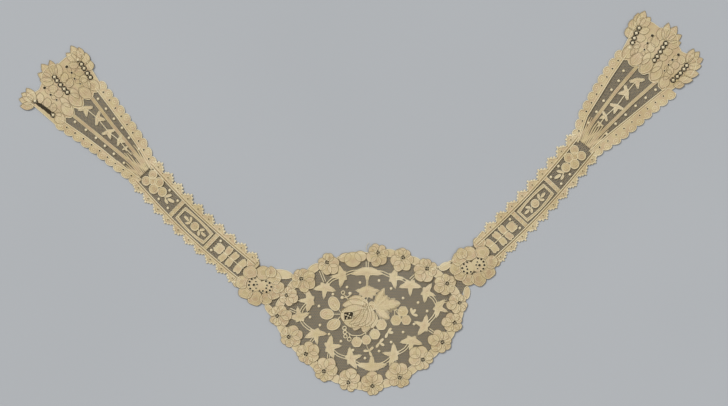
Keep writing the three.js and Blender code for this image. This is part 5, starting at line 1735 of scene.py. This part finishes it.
eye = EYE["radius"] + BACK_MARGIN
parts = [shade_discs(eyes, eye, eye)]
heart_x, heart_y, heart_turn = heart_place
parts.append(shade_discs([(heart_x, heart_y)], ROSE_HEART["half_length"], ROSE_HEART["half_width"], heart_turn))
lay("opening_shade_discs_medallion", parts, [], OPENING_SHADE_FINISH)
for side in STRAPS:
    place = partial(on_fan, side)
    parts = []
    for *spot, radius in WHEELS:
        parts.append(shade_discs([spot], radius, radius, place=partial(on_strap, side)))
    for *ends, balls in SLOTS[side]:
        spots = line_through(ends, 2 * len(balls) - 1)
        parts.append(shade_discs(spots, SLOT_HOLE, SLOT_HOLE, place=place))
    parts.append(shade_discs(SMALL_HOLES[side], SMALL_BACK, SMALL_BACK, place=place))
    for spots in fan_holes[side]:
        hole = FAN_EDGING["hole"] + BACK_MARGIN
        parts.append(shade_discs(spots, hole, hole, place=place))
    lay(f"opening_shade_discs_{side}", parts, [], OPENING_SHADE_FINISH)

# ---------------------------------------------------------------------------------------------
# Loose threads. Two fine ends stand out of the top edge where the border was mended, and a small
# loop of thread hangs out beside the left junction.

THREAD_ENDS = [
    [(5.3, -40.5), (4.6, -37.8), (5.4, -35.0), (7.2, -33.2)],
    [(8.2, -41.0), (9.4, -38.6), (9.0, -36.2), (7.8, -34.6)],
]
LOOSE_LOOP = dict(spot=(-79.6, -54.9), radius=1.0, thread=0.2)
parts = stems(THREAD_ENDS, 0.14)
parts.append(rings_at([LOOSE_LOOP["spot"]], LOOSE_LOOP["radius"], LOOSE_LOOP["thread"], same, lift=0.1))
lay("loose_threads", parts, [])

# ---------------------------------------------------------------------------------------------
# Table, light and camera. The collar lies on a painted board under two wide soft lights, one strong
# and one weak, in a pale room, and the camera looks straight down on it.

# Half the table's width, in metres.
TABLE_HALF = 1.6
LAMPS = [
    # name, where it stands from the middle, strength, degrees wide
    ("key_light", (-0.62, 0.72, 1.0), 2.1, 24.0),
    ("fill_light", (0.9, -0.3, 1.2), 0.55, 40.0),
]
VIEW = dict(x=2.6, y=1.8, width=644.0, lens=85.0, sensor=36.0)

corners = np.array([(-1, -1, 0), (1, -1, 0), (1, 1, 0), (-1, 1, 0)]) * TABLE_HALF
table_mesh = bpy.data.meshes.new("floor")
table_mesh.from_pydata(corners.tolist(), [], [(0, 1, 2, 3)])
# Painted board: an even matt grey with faint clouds.
table_mesh.materials.append(
    clouded_finish("painted_board", 3.0, 2.0, "#abaeb1", "#b3b6b9", {"Roughness": 0.9})
)
table = bpy.data.objects.new("floor", table_mesh)
bpy.context.collection.objects.link(table)

for name, spot, strength, wide in LAMPS:
    lamp_data = bpy.data.lights.new(name, "SUN")
    lamp_data.angle = np.radians(wide)
    lamp_data.energy = strength
    lamp = bpy.data.objects.new(name, lamp_data)
    lamp.location = spot
    lamp.rotation_euler = Vector(spot).to_track_quat("Z", "Y").to_euler()
    bpy.context.collection.objects.link(lamp)

world = bpy.data.worlds.new("studio")
bpy.context.scene.world = world
world.use_nodes = True
sky = {"Color": linear("#f2f3f5"), "Strength": 0.42}
feed(world.node_tree, world.node_tree.nodes["Background"], sky)

camera_data = bpy.data.cameras.new("camera")
camera_data.lens = VIEW["lens"]
camera_data.sensor_width = VIEW["sensor"]
camera = bpy.data.objects.new("camera", camera_data)
camera.location = (VIEW["x"] * MM, VIEW["y"] * MM, VIEW["width"] * MM * VIEW["lens"] / VIEW["sensor"])
bpy.context.collection.objects.link(camera)
bpy.context.scene.camera = camera
bpy.context.scene.view_settings.view_transform = "Standard"
